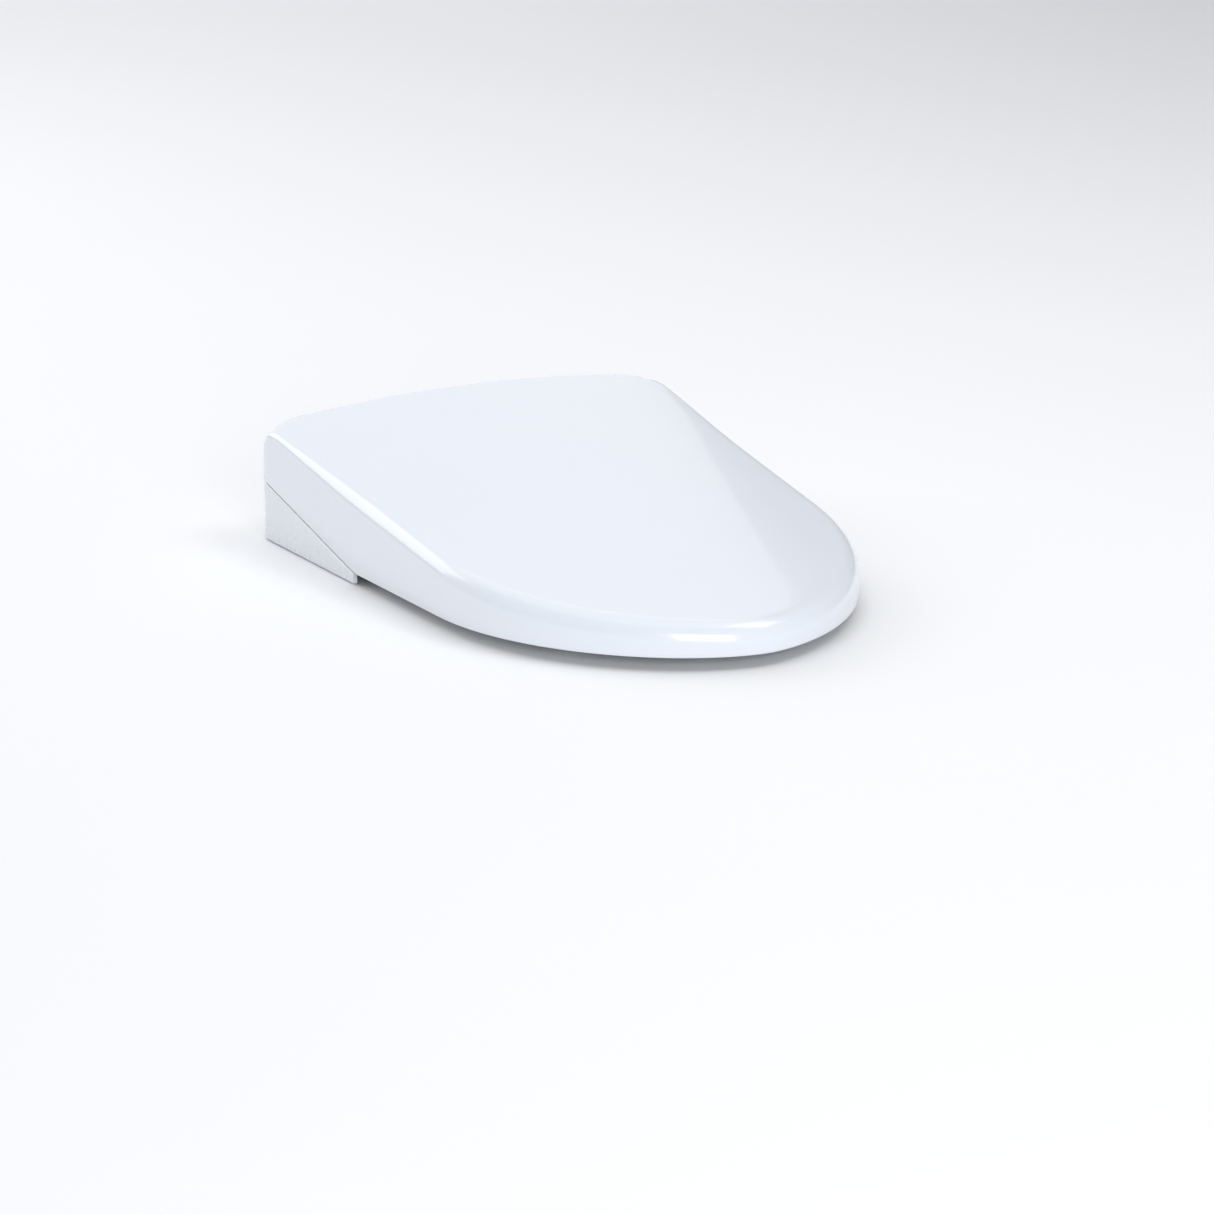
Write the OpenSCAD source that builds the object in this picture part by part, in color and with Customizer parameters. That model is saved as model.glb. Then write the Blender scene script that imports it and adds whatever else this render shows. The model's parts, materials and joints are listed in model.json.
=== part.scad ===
// Electric bidet seat: lid and heated seat ring on a rear unit that holds the washing wand,
// warm-air dryer, deodorizer, water heater and hinge drives.
// Millimetres. +Z is up, the front faces -Y and X is across, so the model is symmetric about X = 0
// apart from its inner units. The origin is midway between the two toilet bolts, on the rim plane.

/* [Lid] */
// Width of the lid at its rear
lid_width = 386; // [330:1:464]
// Depth from the front edge of the lid to the back of the unit
seat_depth = 530; // [480:1:636]
// Distance from the toilet bolts to the back of the unit
rear_overhang = 65; // [60:1:76]
// Height of the closed lid above the rim at the rear, on the centreline
lid_rear_h = 116; // [112:1:139]
// Height of the closed lid above the rim at the front, on the centreline
lid_front_h = 34; // [32:1:40]
// Drop of the lid's top from the centreline to its widest edge
lid_crown = 12.5; // [4:0.5:14]
// Wall of the lid shell
lid_wall = 3; // [2.5:0.1:3.6]
// Gap between the rim and the edge of the closed lid
lid_edge_z = 10; // [8:0.5:11]
// Length of the rounded nose of the outline
nose_len = 208; // [175:1:250]
// Squareness of the nose's shoulders, 2 is an ellipse
nose_pow = 2; // [1.8:0.05:2.4]
// Roundness of the nose's tip, 2 is an ellipse
tip_pow = 1.7; // [1.5:0.05:2]
// How much narrower each side is at the front end of the outline
side_flare = 22; // [12:1:26]
// Bow of the rear edge
rear_bow = 2; // [1:0.5:6]
// Radius of the rear corners in plan
corner_r = 22; // [18:1:26]
// Radius of the soft edge round the lid's top
edge_fillet = 15; // [12:1:18]
// Rounding of the lid's side edge at the rear end
rear_fillet = 4; // [3.5:0.5:8]
// Depth of the rounded rear edge, front to back
rear_round = 20; // [17:1:24]
// Where the slanted seam between lid and unit starts
seam_tip_y = -117; // [-140:1:-98]

/* [Hinge] */
// Distance of the hinge axis in front of the back of the unit
hinge_setback = 23; // [21:1:27]
// Distance of the hinge axis below the lid's rear height
hinge_drop = 28; // [26:1:30]
// Height of the hinge axis above the seam's rear end
hinge_over_seam = 31; // [28:1:34]
// Radius of the lid's hinge pin
pin_r = 4.5; // [3.8:0.1:5.4]
// Wall of the seat's hinge sleeve round the pin
sleeve_wall = 3.4; // [2.8:0.1:3.6]
// Running clearance of pin and sleeve
run_gap = 0.05; // [0.02:0.01:0.09]

/* [Seat ring] */
// Gap between the lid's inside and the ring
seat_gap = 5; // [4:0.5:6]
// Height of the ring's top at the front
seat_front_h = 28; // [25:0.5:30]
// Height of the ring's top where it meets the deck
seat_back_h = 46; // [42:0.5:49]
// Width of the hole
hole_w = 212; // [176:1:236]
// Length of the hole
hole_len = 286; // [240:1:300]
// Width of the ring in front of the hole
front_band = 50; // [42:1:60]

/* [Rear unit] */
// Width of each wing beside the middle of the unit
wing_w = 47; // [43:1:52]
// Distance from the toilet bolts to the unit's front face
apron_reach = 75; // [70:1:80]
// Height of the deck's front edge
deck_front_z = 50; // [46:1:54]
// Wall of the unit's casings
case_wall = 2.5; // [2:0.1:3]
// Thickness of the side covers
cover_wall = 4; // [3.4:0.1:4.8]
// Gap between parts that move past each other
seam_gap = 1.2; // [1:0.1:1.5]
// Radius of the round housing over the hinge drives
hump_r = 13.2; // [13:0.1:13.6]

/* [Mounting] */
// Spacing of the toilet bolts
bolt_spacing = 140; // [117:1:168]
// Radius of the bolt holes
bolt_hole_r = 5; // [4:0.1:6]
// Thickness of the base plate
plate_t = 6; // [5:0.1:7.2]
// Width of the base plate
plate_w = 232; // [215:1:250]
// Radius of the water inlet's thread
inlet_r = 10.48; // [9:0.01:12.5]
// Radius of the power cord that the gland takes
cord_r = 3.6; // [3:0.1:4.3]

/* [Washing wand] */
// Downward slope of the wand
wand_slope = 24; // [20:1:26]
// Radius of the wand
wand_r = 7; // [5.9:0.1:7.4]
// Length of the wand
wand_len = 124; // [118:1:128]
// Height of the wand's axis where it leaves the unit
wand_port_z = 14; // [13:0.5:16]
// Module of the wand's rack and pinion
gear_m = 1; // [0.9:0.05:1.1]
// Teeth on the pinion
pinion_teeth = 12; // [11:1:13]

/* [Buttons] */
// Radius of the push buttons
button_r = 5; // [4.2:0.1:5.5]

/* [Hidden] */
$fn = 48;
eps = 0.01;

// Overall places
rear_y = rear_overhang;
front_y = rear_y - seat_depth;
mid_y = (rear_y + front_y) / 2;
nose_y = front_y + nose_len;
half_max = lid_width / 2;
block_half_w = half_max - wing_w;
top_slope = (lid_rear_h - lid_front_h) / seat_depth;

// Hinge axis and the seam below it
hinge_y = rear_y - hinge_setback;
hinge_z = lid_rear_h - hinge_drop;
corner_y = rear_y - rear_bow;
seam_rear_z = hinge_z - hinge_over_seam;
seam_slope = (seam_rear_z - lid_edge_z) / (corner_y - seam_tip_y);
seam_angle = atan(seam_slope);
// Distance from the hinge axis to the seam, and the point of the seam nearest the axis
seam_off = hinge_over_seam * cos(seam_angle) + (corner_y - hinge_y) * sin(seam_angle);
foot_y = hinge_y + seam_off * sin(seam_angle);
sweep_r = seam_off;
trough_r = sweep_r + seam_gap;

// Seam height at y: level under the nose, then straight, then round the hinge axis
function line_z(y) = lid_edge_z + seam_slope * (y - seam_tip_y);
function seam_z(y) = y <= seam_tip_y ? lid_edge_z
                   : y <= foot_y ? line_z(y)
                   : hinge_z - sqrt(pow(sweep_r, 2) - pow(min(y - hinge_y, sweep_r * 0.95), 2));

// Top of the lid
function top_z(x, y) = lid_rear_h - top_slope * (rear_y - y) - lid_crown * pow(x / half_max, 2);

// Half width of the outline at y
function nose_k(y) = y >= nose_y ? 1 : pow(max(0, 1 - pow((nose_y - y) / nose_len, nose_pow)), 1 / tip_pow);
function half_w(y) = (half_max - side_flare * (rear_y - y) / seat_depth) * nose_k(y);

// One side of the outline, from the nose tip back to y_end
side_steps = 34;
function side_pts(inset, y_end) =
    let (tip = front_y + inset, cut = nose_y)
    [for (i = [0:side_steps])
        let (y = i <= 24 ? cut - (cut - tip) * cos(90 * i / 24)
                         : y_end - (y_end - cut) * pow((side_steps - i) / (side_steps - 24), 1.6),
             k = i <= 24 ? pow(max(0, 1 - pow(cos(90 * i / 24), nose_pow)), 1 / tip_pow) : 1)
        [(half_max - inset - side_flare * (rear_y - y) / seat_depth) * k, y]];

// Rear corner and rear edge, from the side round to the middle
corner_steps = 6;
edge_steps = 6;
function rear_half(inset, y_back, r, bow) =
    let (w = half_max - inset - side_flare * (rear_y - y_back + bow + r) / seat_depth)
    concat([for (i = [0:corner_steps])
                let (a = 90 * i / corner_steps)
                [w - r + r * cos(a), y_back - bow * pow(1 - r / w, 2) - r + r * sin(a)]],
           [for (x = [cut_x + 1, cut_x - 1]) [x, y_back - bow * pow(x / w, 2)]],
           [for (i = [1:edge_steps])
                let (x = (cut_x - 1) * (1 - i / edge_steps))
                [x, y_back - bow * pow(x / w, 2)]]);

// Whole outline, anticlockwise seen from below the front tip
function outline(inset, y_back, r, bow) =
    let (r_in = max(r - inset, 2),
         half = concat(side_pts(inset, y_back - bow - r_in - 1), rear_half(inset, y_back, r_in, bow)),
         n = len(half))
    concat(half, [for (i = [n - 2:-1:1]) [-half[i][0], half[i][1]]]);

function lid_outline(inset) = outline(inset, rear_y - inset, corner_r, rear_bow);

// Shapes drawn in the side view and pushed out across X
module across(pts, x0, x1) {
    translate([x0, 0, 0]) rotate([90, 0, 90]) linear_extrude(x1 - x0) polygon(pts);
}
module box(x, y, z) {
    translate([x[0], y[0], z[0]]) cube([x[1] - x[0], y[1] - y[0], z[1] - z[0]]);
}
module rod_x(r, x0, x1, y, z) {
    translate([x0, y, z]) rotate([0, 90, 0]) cylinder(r = r, h = x1 - x0);
}
module rod_y(r, x, y0, y1, z) {
    translate([x, y0, z]) rotate([-90, 0, 0]) cylinder(r = r, h = y1 - y0);
}
module rod_z(r, x, y, z0, z1) {
    translate([x, y, z0]) cylinder(r = r, h = z1 - z0);
}
module plan(inset, z0, z1) {
    translate([0, 0, z0]) linear_extrude(z1 - z0) polygon(lid_outline(inset));
}
module both_sides() {
    children();
    mirror([1, 0, 0]) children();
}
function arc(r, a0, a1, n) = [for (i = [0:n]) let (a = a0 + (a1 - a0) * i / n)
    [hinge_y + r * cos(a), hinge_z + r * sin(a)]];

// Casing profiles in the side view
apron_y = -apron_reach;
case_z = 1;
unit_back = rear_y - cover_wall;
deck_back = unit_back - rear_bow;
// The wing's top lies seam_gap under the seam, then follows the swing of the lid's rear corner
function wing_line_z(y, drop) = line_z(y) - (seam_gap + drop) / cos(seam_angle);
function wing_profile(drop, y0, y1, z0) =
    let (r = trough_r + drop, a0 = -90 + seam_angle, a1 = -acos(min(1, (y1 - hinge_y) / r)))
    concat([[y0, z0], [y0, max(z0 + 1, wing_line_z(y0, drop))]], arc(r, a0, a1, 8), [[y1, z0]]);

// The middle block: deck rising to a round housing over the hinge drives, then a cove behind it
neck_angle = -70;
function deck_profile(drop, y0, y1, z0) =
    let (r = hump_r - drop, q = trough_r + drop,
         dy = hinge_y - y0, dz = hinge_z - (deck_front_z - drop),
         rise = atan2(dz, dy) + asin(r / norm([dy, dz])),
         a1 = -acos(min(1, (y1 - hinge_y) / q)))
    concat([[y0, z0], [y0, deck_front_z - drop]],
           arc(r, 90 + rise, neck_angle - drop * 2, 14), arc(q, neck_angle - drop * 2, a1, 6), [[y1, z0]]);

// Base plate, bolt plates and latch
pad_w = 44;
pad_d = 32;
pad_lip = 4;
pad_fit = 0.2;
plate_back = 42;
plate_front = 38;
bolt_x = bolt_spacing / 2;
module base_plate() {
    lip_z = plate_t / 2;
    color("#d9dcde") difference() {
        union() {
            box([-plate_w / 2, plate_w / 2], [-plate_front, plate_back], [0, plate_t]);
            both_sides() box([plate_w / 2 - eps, plate_w / 2 + 3], [-plate_front + 8, plate_back - 8],
                             [0, plate_t / 2]);
        }
        both_sides() {
            box([bolt_x - pad_w / 2 + pad_lip, bolt_x + pad_w / 2 - pad_lip],
                [-pad_d / 2 + pad_lip, pad_d / 2 - pad_lip], [-1, plate_t + 1]);
            box([bolt_x - pad_w / 2, bolt_x + pad_w / 2], [-pad_d / 2, pad_d / 2], [lip_z, plate_t + 1]);
        }
        box([-26, 26], [-16, 26], [-1, plate_t + 1]);
    }
}
module bolt_plates() {
    color("#8f969b") both_sides() difference() {
        union() {
            box([bolt_x - pad_w / 2 + pad_fit, bolt_x + pad_w / 2 - pad_fit],
                [-pad_d / 2 + pad_fit, pad_d / 2 - pad_fit], [plate_t / 2, plate_t]);
            box([bolt_x - pad_w / 2 + pad_lip + pad_fit, bolt_x + pad_w / 2 - pad_lip - pad_fit],
                [-pad_d / 2 + pad_lip + pad_fit, pad_d / 2 - pad_lip - pad_fit], [0, plate_t / 2]);
        }
        rod_z(bolt_hole_r, bolt_x, 0, -1, plate_t + 1);
    }
}
module base_latch() {
    color("#5d6468") difference() {
        box([-25, 25], [-15, 25], [plate_t - 3, plate_t]);
        box([-15, 15], [-6, 16], [plate_t - 4, plate_t + 1]);
    }
}

// Casings
floor_z = plate_t + case_wall;
front_floor_z = case_z + case_wall;
split_y = -plate_front - 4;
split_z = 20;
screw_x = block_half_w - 13;
screw_r = 1.5;
screw_at = [[apron_y + 9, case_z], [54, plate_t]];
bolt_head_h = 9;
bolt_head_r = 13;
pocket_top = plate_t + bolt_head_h;
module lower_case() {
    color("#e4e7e9") difference() {
        union() {
            intersection() {
                union() {
                    across([[apron_y + case_wall, case_z], [split_y, case_z], [split_y, plate_t],
                            [unit_back, plate_t], [unit_back, floor_z], [split_y - case_wall, floor_z],
                            [split_y - case_wall, front_floor_z], [apron_y + case_wall, front_floor_z]],
                           -half_max, half_max);
                    both_sides() box([plate_w / 2 + 4, plate_w / 2 + 4 + case_wall], [split_y - case_wall, unit_back],
                                     [case_z, floor_z]);
                }
                plan(cover_wall, 0, 200);
            }
            both_sides() rod_z(bolt_head_r + case_wall, bolt_x, 0, floor_z - eps, pocket_top + case_wall);
        }
        both_sides() rod_z(bolt_head_r, bolt_x, 0, -1, pocket_top);
        both_sides() for (p = screw_at) rod_z(screw_r, screw_x, p[0], 0, floor_z + 1);
    }
}

// Wing shelf under the lid's sides
module wing_region(x_in) {
    both_sides() intersection() {
        box([x_in, half_max], [apron_y, rear_y + 1], [0, 200]);
        plan(cover_wall, 0, 200);
        children();
    }
}
bush_r = pin_r + run_gap + sleeve_wall + run_gap + 2.2;
flap_x = [block_half_w - 82, block_half_w - 54];
flap_z = [11, 23];
port_gap = 0.8;
cap_r = wand_r + 1.9;
module upper_case() {
    color("#eef0f2") difference() {
        union() {
            // front face of the block and of the wings
            box([-block_half_w, block_half_w], [apron_y, apron_y + case_wall],
                [case_z, deck_front_z - case_wall]);
            wing_region(block_half_w - eps)
                across([[apron_y, case_z], [apron_y, wing_line_z(apron_y, 0)],
                        [apron_y + case_wall, wing_line_z(apron_y + case_wall, 0)],
                        [apron_y + case_wall, case_z]], -half_max, half_max);
            // ears that hold the dryer flap's pin
            for (x = [flap_x[0] - 3.2, flap_x[1] + 1.4])
                box([x, x + 1.8], [flap_pin_y - 1.7, apron_y + eps], [flap_pin_z - 1.9, flap_pin_z + 1.9]);
            // wing shelves
            wing_region(block_half_w - case_wall) difference() {
                across(wing_profile(0, apron_y, unit_back, case_z), -half_max, half_max);
                across(wing_profile(case_wall, apron_y - 1, unit_back + 1, case_z - 1), -half_max, half_max);
            }
            // end walls of the block above the shelves
            both_sides() difference() {
                intersection() {
                    across(deck_profile(case_wall, apron_y - 1, deck_back + 1, case_z - 1),
                           block_half_w - case_wall, block_half_w);
                    box([0, half_max], [apron_y + eps, deck_back], [case_z, 200]);
                }
                across(wing_profile(case_wall / 2, apron_y - 1, unit_back + 1, case_z - 1),
                       block_half_w - case_wall - 1, block_half_w + 1);
            }
        }
        both_sides() rod_x(bush_r, block_half_w - case_wall - 1, block_half_w + 1, hinge_y, hinge_z);
        rod_x(flap_pin_r + run_gap, flap_x[0] - 5, flap_x[1] + 5, flap_pin_y, flap_pin_z);
        // wand port and dryer outlet
        wand_frame() rod_port(cap_r + port_gap);
        box(flap_x, [apron_y - 1, apron_y + case_wall + 1], flap_z);
    }
}

// Window and lens in the deck
window_x = [-22, 22];
window_y = [-52, -38];
lens_x = [40, 64];
cove_gap = 0.3;
module deck_cover() {
    color("#f3f5f7") difference() {
        across(deck_profile(0, apron_y, deck_back, case_z), -block_half_w, block_half_w);
        across(deck_profile(case_wall, apron_y - 1, deck_back + 1, case_z - 1),
               -block_half_w - 1, block_half_w + 1);
        box([-block_half_w - 1, block_half_w + 1], [apron_y - 1, deck_back + 1],
            [0, deck_front_z - case_wall]);
        // room for the shelf's inner edge in the cove
        both_sides() across(wing_profile(-cove_gap, apron_y, unit_back, case_z),
                            block_half_w - case_wall, block_half_w + 1);
        deck_slot(window_x);
        deck_slot(lens_x);
    }
}
// A slot through the deck, and what fills it, drawn in the plane of the deck
deck_rise = atan2(hinge_z - deck_front_z, hinge_y - apron_y)
          + asin(hump_r / norm([hinge_y - apron_y, hinge_z - deck_front_z]));
module in_deck() {
    translate([0, apron_y, deck_front_z]) rotate([deck_rise, 0, 0]) children();
}
slot_at = 24;
slot_len = 14;
module deck_slot(x) {
    in_deck() box(x, [slot_at, slot_at + slot_len], [-case_wall - 3, 3]);
}
module deck_insert(x) {
    in_deck() {
        box([x[0] + 0.1, x[1] - 0.1], [slot_at + 0.1, slot_at + slot_len - 0.1], [-case_wall, -0.2]);
        box([x[0] - 2, x[1] + 2], [slot_at - 2, slot_at + slot_len + 2], [-case_wall - 1.2, -case_wall]);
    }
}

// Rear cover with vents, the inlet's pocket and the hole for the cord gland
rear_join = block_half_w + 4;
inlet_x = 38 - block_half_w;
inlet_z = 28;
pocket_r = 16.8;
pocket_y = rear_y - 24;
gland_x = block_half_w - 34;
gland_z = 26;
gland_r = 9;
flange_y = unit_back - 0.9;
vent_count = 9;
vent_pitch = 7;
module rear_cover() {
    color("#e9ecee") difference() {
        union() {
            difference() {
                intersection() {
                    plan(0, 0, 200);
                    box([-rear_join, rear_join], [hinge_y, rear_y + 1], [case_z, 200]);
                    across(wing_profile(0, hinge_y - 1, rear_y + 1, case_z), -half_max, half_max);
                }
                plan(cover_wall, 0, 200);
            }
            rod_y(pocket_r + case_wall, inlet_x, pocket_y, unit_back - 1, inlet_z);
        }
        rod_y(pocket_r, inlet_x, pocket_y + case_wall, rear_y + 1, inlet_z);
        rod_y(inlet_r, inlet_x, pocket_y - 1, rear_y + 1, inlet_z);
        rod_y(gland_r, gland_x, unit_back - 6, rear_y + 1, gland_z);
        for (i = [0:vent_count - 1])
            box([-(vent_count - 1) / 2 * vent_pitch + i * vent_pitch - 1.5,
                 -(vent_count - 1) / 2 * vent_pitch + i * vent_pitch + 1.5],
                [unit_back - 8, rear_y + 1], [22, 46]);
    }
}

// Side covers: the slanted panels that show beside the lid
tip_r = 3;
module side_blank() {
    difference() {
        intersection() {
            plan(0, 0, 200);
            box([rear_join - 40, half_max + 1], [seam_tip_y, rear_y + 1], [case_z, 200]);
            across(concat([[seam_tip_y + tip_r, case_z], [seam_tip_y + 0.6, case_z + 1.2],
                           [seam_tip_y, case_z + 3], [seam_tip_y + 1, wing_line_z(seam_tip_y, 0) - 0.4]],
                          [for (p = wing_profile(0, seam_tip_y + 5, rear_y + 1, case_z))
                              if (p[1] > case_z + 0.5) p],
                          [[rear_y + 1, case_z]]), 0, half_max + 1);
        }
        plan(cover_wall, 0, 200);
        box([0, rear_join], [0, rear_y + 2], [0, 200]);
    }
}
cart_y = [14, 48];
cart_z = [11, 35];
cart_gap = 0.4;
power_at = [-48, 15];
wash_at = [-30, 18];
release_at = [-6, 18];
release_r = 6.5;
button_gap = 0.3;
module side_cover_left() {
    color("#e6e9ec") mirror([1, 0, 0]) side_blank();
}
module side_cover_right() {
    color("#e6e9ec") difference() {
        side_blank();
        box([half_max - 30, half_max + 1], [cart_y[0] - cart_gap, cart_y[1] + cart_gap],
            [cart_z[0] - cart_gap, cart_z[1] + cart_gap]);
        for (p = [power_at, wash_at])
            rod_x(button_r + button_gap, half_max - 30, half_max + 1, p[0], p[1]);
        rod_x(release_r + button_gap, half_max - 30, half_max + 1, release_at[0], release_at[1]);
    }
}
module case_screws() {
    color("#9aa1a6") both_sides() for (p = screw_at) {
        rod_z(3, screw_x, p[0], p[1] - 0.8, p[1]);
        rod_z(screw_r, screw_x, p[0], p[1] - eps, p[1] + 8);
    }
}
module rubber_pads() {
    color("#4b5054") both_sides() for (x = [30, block_half_w + 16])
        rod_z(7, x, apron_y + 14, 0, case_z);
}

// Washing wand, drawn along its own axis: the port is at the origin and the wand leaves along -Y
module wand_frame() {
    translate([0, apron_y, wand_port_z]) rotate([wand_slope, 0, 0]) children();
}
module rod_port(r) {
    rod_y(r, 0, -8, 10, 0);
}
tip_back = 4;
tip_len = 14;
wand_gap = 0.5;
guide_len = 112;
guide_half_w = 11;
guide_half_h = 10;
leg_half_w = 9;
pinion_s = 22;
pinion_pitch_r = gear_m * pinion_teeth / 2;
rack_root = wand_r + 0.4;
rack_pitch_h = rack_root + gear_m;
pinion_h = rack_pitch_h + pinion_pitch_r;
pinion_tip_r = pinion_pitch_r + 0.8 * gear_m;
pinion_root_r = pinion_pitch_r - 1.1 * gear_m;
shaft_r = 1.5;
rack_half_w = 2;
ear_x = 3.4;
ear_t = 2.4;
tooth_pitch = PI * gear_m;
// Legs of the guide: depth range and height of each
rear_leg = [8, 20];
rear_leg_z = 42.4;
front_leg = [-62, -56];
front_leg_z = 11.2;
guide_from = 8.5;
module nozzle_guide() {
    color("#c9ced2") {
        difference() {
            union() {
                wand_frame() {
                    box([-guide_half_w, guide_half_w], [guide_from, 5 + guide_len], [-guide_half_h, guide_half_h]);
                    for (x = [-ear_x - ear_t, ear_x])
                        box([x, x + ear_t], [pinion_s - 8, pinion_s + 8], [0, pinion_h + 5]);
                }
                box([-leg_half_w, leg_half_w], rear_leg, [floor_z, rear_leg_z]);
                box([-leg_half_w, leg_half_w], front_leg, [front_floor_z, front_leg_z]);
            }
            wand_frame() {
                rod_y(wand_r + wand_gap, 0, -10, guide_len + 30, 0);
                box([-rack_half_w - 0.6, rack_half_w + 0.6], [-10, guide_len + 30], [0, guide_half_h + 1]);
                box([-ear_x, ear_x], [pinion_s - pinion_tip_r - 0.8, pinion_s + pinion_tip_r + 0.8],
                    [0, guide_half_h + 1]);
                rod_x(shaft_r + 0.1, -ear_x - ear_t - 1, ear_x + ear_t + 1, pinion_s, pinion_h);
            }
        }
    }
}
// Rack teeth on the wand's back; one gap faces the pinion when the wand is in
rack_teeth = floor((wand_len - pinion_s + tip_back) / tooth_pitch) - 1;
function rack_pts() =
    concat([[pinion_s - 1.5 * tooth_pitch, wand_r - 1.6]],
           [for (i = [-1:rack_teeth]) let (s = pinion_s + i * tooth_pitch) each
                [[s - 0.24 * tooth_pitch + tooth_pitch / 2, rack_root],
                 [s - 0.12 * tooth_pitch + tooth_pitch / 2, rack_root + 1.7 * gear_m],
                 [s + 0.12 * tooth_pitch + tooth_pitch / 2, rack_root + 1.7 * gear_m],
                 [s + 0.24 * tooth_pitch + tooth_pitch / 2, rack_root]]],
           [[pinion_s + (rack_teeth + 1.2) * tooth_pitch, wand_r - 1.6]]);
module nozzle_wand() {
    color("#f1f3f4") wand_frame() difference() {
        union() {
            rod_y(wand_r, 0, tip_back + tip_len, tip_back + wand_len, 0);
            across(rack_pts(), -rack_half_w, rack_half_w);
        }
        rod_y(2, 0, tip_back + tip_len - 1, tip_back + wand_len + 1, 0);
    }
}
module nozzle_tip() {
    color("#dfe3e6") wand_frame() difference() {
        union() {
            rod_y(wand_r, 0, tip_back, tip_back + tip_len, 0);
            rod_y(1.95, 0, tip_back + tip_len - eps, tip_back + tip_len + 4, 0);
        }
        for (x = [-2.4, 0, 2.4])
            rod_z(0.6, x, tip_back + 7, wand_r - 4, wand_r + 1);
    }
}
module nozzle_cap() {
    color("#f3f5f7") wand_frame() rod_y(cap_r, 0, tip_back - 3, tip_back, 0);
}
motor_r = pinion_h - guide_half_h - 0.2;
motor_len = 20;
module nozzle_motor() {
    color("#7c8388") wand_frame() difference() {
        union() {
            rod_x(motor_r, ear_x + ear_t, ear_x + ear_t + motor_len, pinion_s, pinion_h);
            box([ear_x + ear_t, guide_half_w], [pinion_s - 3, pinion_s + 3], [guide_half_h, pinion_h]);
        }
        rod_x(shaft_r + run_gap, ear_x + ear_t - 1, ear_x + ear_t + 8, pinion_s, pinion_h);
    }
}
function pinion_pts() = [for (i = [0:pinion_teeth - 1]) let (a = 360 / pinion_teeth * i - 90,
                                                            w = 360 / pinion_teeth) each
    [[pinion_root_r * cos(a - 0.28 * w), pinion_root_r * sin(a - 0.28 * w)],
     [pinion_tip_r * cos(a - 0.12 * w), pinion_tip_r * sin(a - 0.12 * w)],
     [pinion_tip_r * cos(a + 0.12 * w), pinion_tip_r * sin(a + 0.12 * w)],
     [pinion_root_r * cos(a + 0.28 * w), pinion_root_r * sin(a + 0.28 * w)]]];
module nozzle_pinion() {
    color("#e8e2d0") wand_frame() {
        translate([0, pinion_s, pinion_h]) across(pinion_pts(), -rack_half_w, rack_half_w);
        rod_x(shaft_r, -ear_x - ear_t, ear_x + ear_t + 7, pinion_s, pinion_h);
    }
}

// Warm-air dryer
blower_x = block_half_w - 32;
blower_y = -32;
blower_r = 26;
blower_z = [floor_z, 31];
duct_wall = 2;
duct_x = [flap_x[0] - duct_wall, flap_x[1] + duct_wall];
duct_z = [flap_z[0] - duct_wall, flap_z[1] + duct_wall];
fan_r = 20;
module dryer_housing() {
    color("#3f464a") difference() {
        union() {
            rod_z(blower_r, blower_x, blower_y, blower_z[0], blower_z[1]);
            box(duct_x, [apron_y + case_wall, blower_y], duct_z);
        }
        rod_z(blower_r - duct_wall, blower_x, blower_y, blower_z[0] + duct_wall, blower_z[1] - duct_wall);
        box(flap_x, [apron_y, blower_y - duct_wall], flap_z);
        box([flap_x[1] - 14, blower_x - 10], [blower_y - 16, blower_y - duct_wall], flap_z);
        rod_z(9, blower_x, blower_y, blower_z[0] - 1, blower_z[0] + duct_wall + 1);
        rod_z(2.4, blower_x, blower_y, blower_z[1] - duct_wall - 1, blower_z[1] + 1);
    }
}
blade_count = 12;
module dryer_impeller() {
    color("#d7d3c6") {
        rod_z(2, blower_x, blower_y, blower_z[0] + 6, blower_z[1] + 6);
        difference() {
            rod_z(fan_r, blower_x, blower_y, blower_z[0] + 4, blower_z[0] + 6);
            rod_z(2, blower_x, blower_y, blower_z[0] + 3, blower_z[0] + 5);
        }
        for (i = [0:blade_count - 1])
            translate([blower_x, blower_y, 0]) rotate(i * 360 / blade_count)
                box([12, fan_r - 0.5], [-0.8, 0.8], [blower_z[0] + 6 - eps, blower_z[1] - 6]);
    }
}
module dryer_motor() {
    color("#878f94") difference() {
        union() {
            rod_z(13, blower_x, blower_y, blower_z[1], blower_z[1] + 18);
            rod_z(5, blower_x, blower_y, blower_z[1] + 18 - eps, blower_z[1] + 20);
        }
        rod_z(2 + run_gap, blower_x, blower_y, blower_z[1] - 1, blower_z[1] + 8);
    }
}
module dryer_heater() {
    color("#c58b5a") {
        for (i = [0:3])
            box(flap_x, [-66 + i * 5, -64.5 + i * 5], [flap_z[0] + 3 + (i % 2), flap_z[0] + 8 + (i % 2)]);
        for (x = [flap_x[0] + 5, flap_x[1] - 7])
            box([x, x + 2], [-66, -49.5], [flap_z[0] + 4.5, flap_z[0] + 7]);
    }
}
flap_t = 1.6;
flap_pin_r = 1.4;
flap_pin_z = flap_z[1] + 1.5;
flap_pin_y = apron_y - 1.6;
module dryer_flap() {
    color("#eef0f2") {
        rod_x(flap_pin_r, flap_x[0] - 3.2, flap_x[1] + 3.2, flap_pin_y, flap_pin_z);
        box([flap_x[0] - 1, flap_x[1] + 1], [flap_pin_y - flap_t / 2, flap_pin_y + flap_t / 2],
            [flap_z[0] - 1, flap_pin_z]);
    }
}

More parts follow.
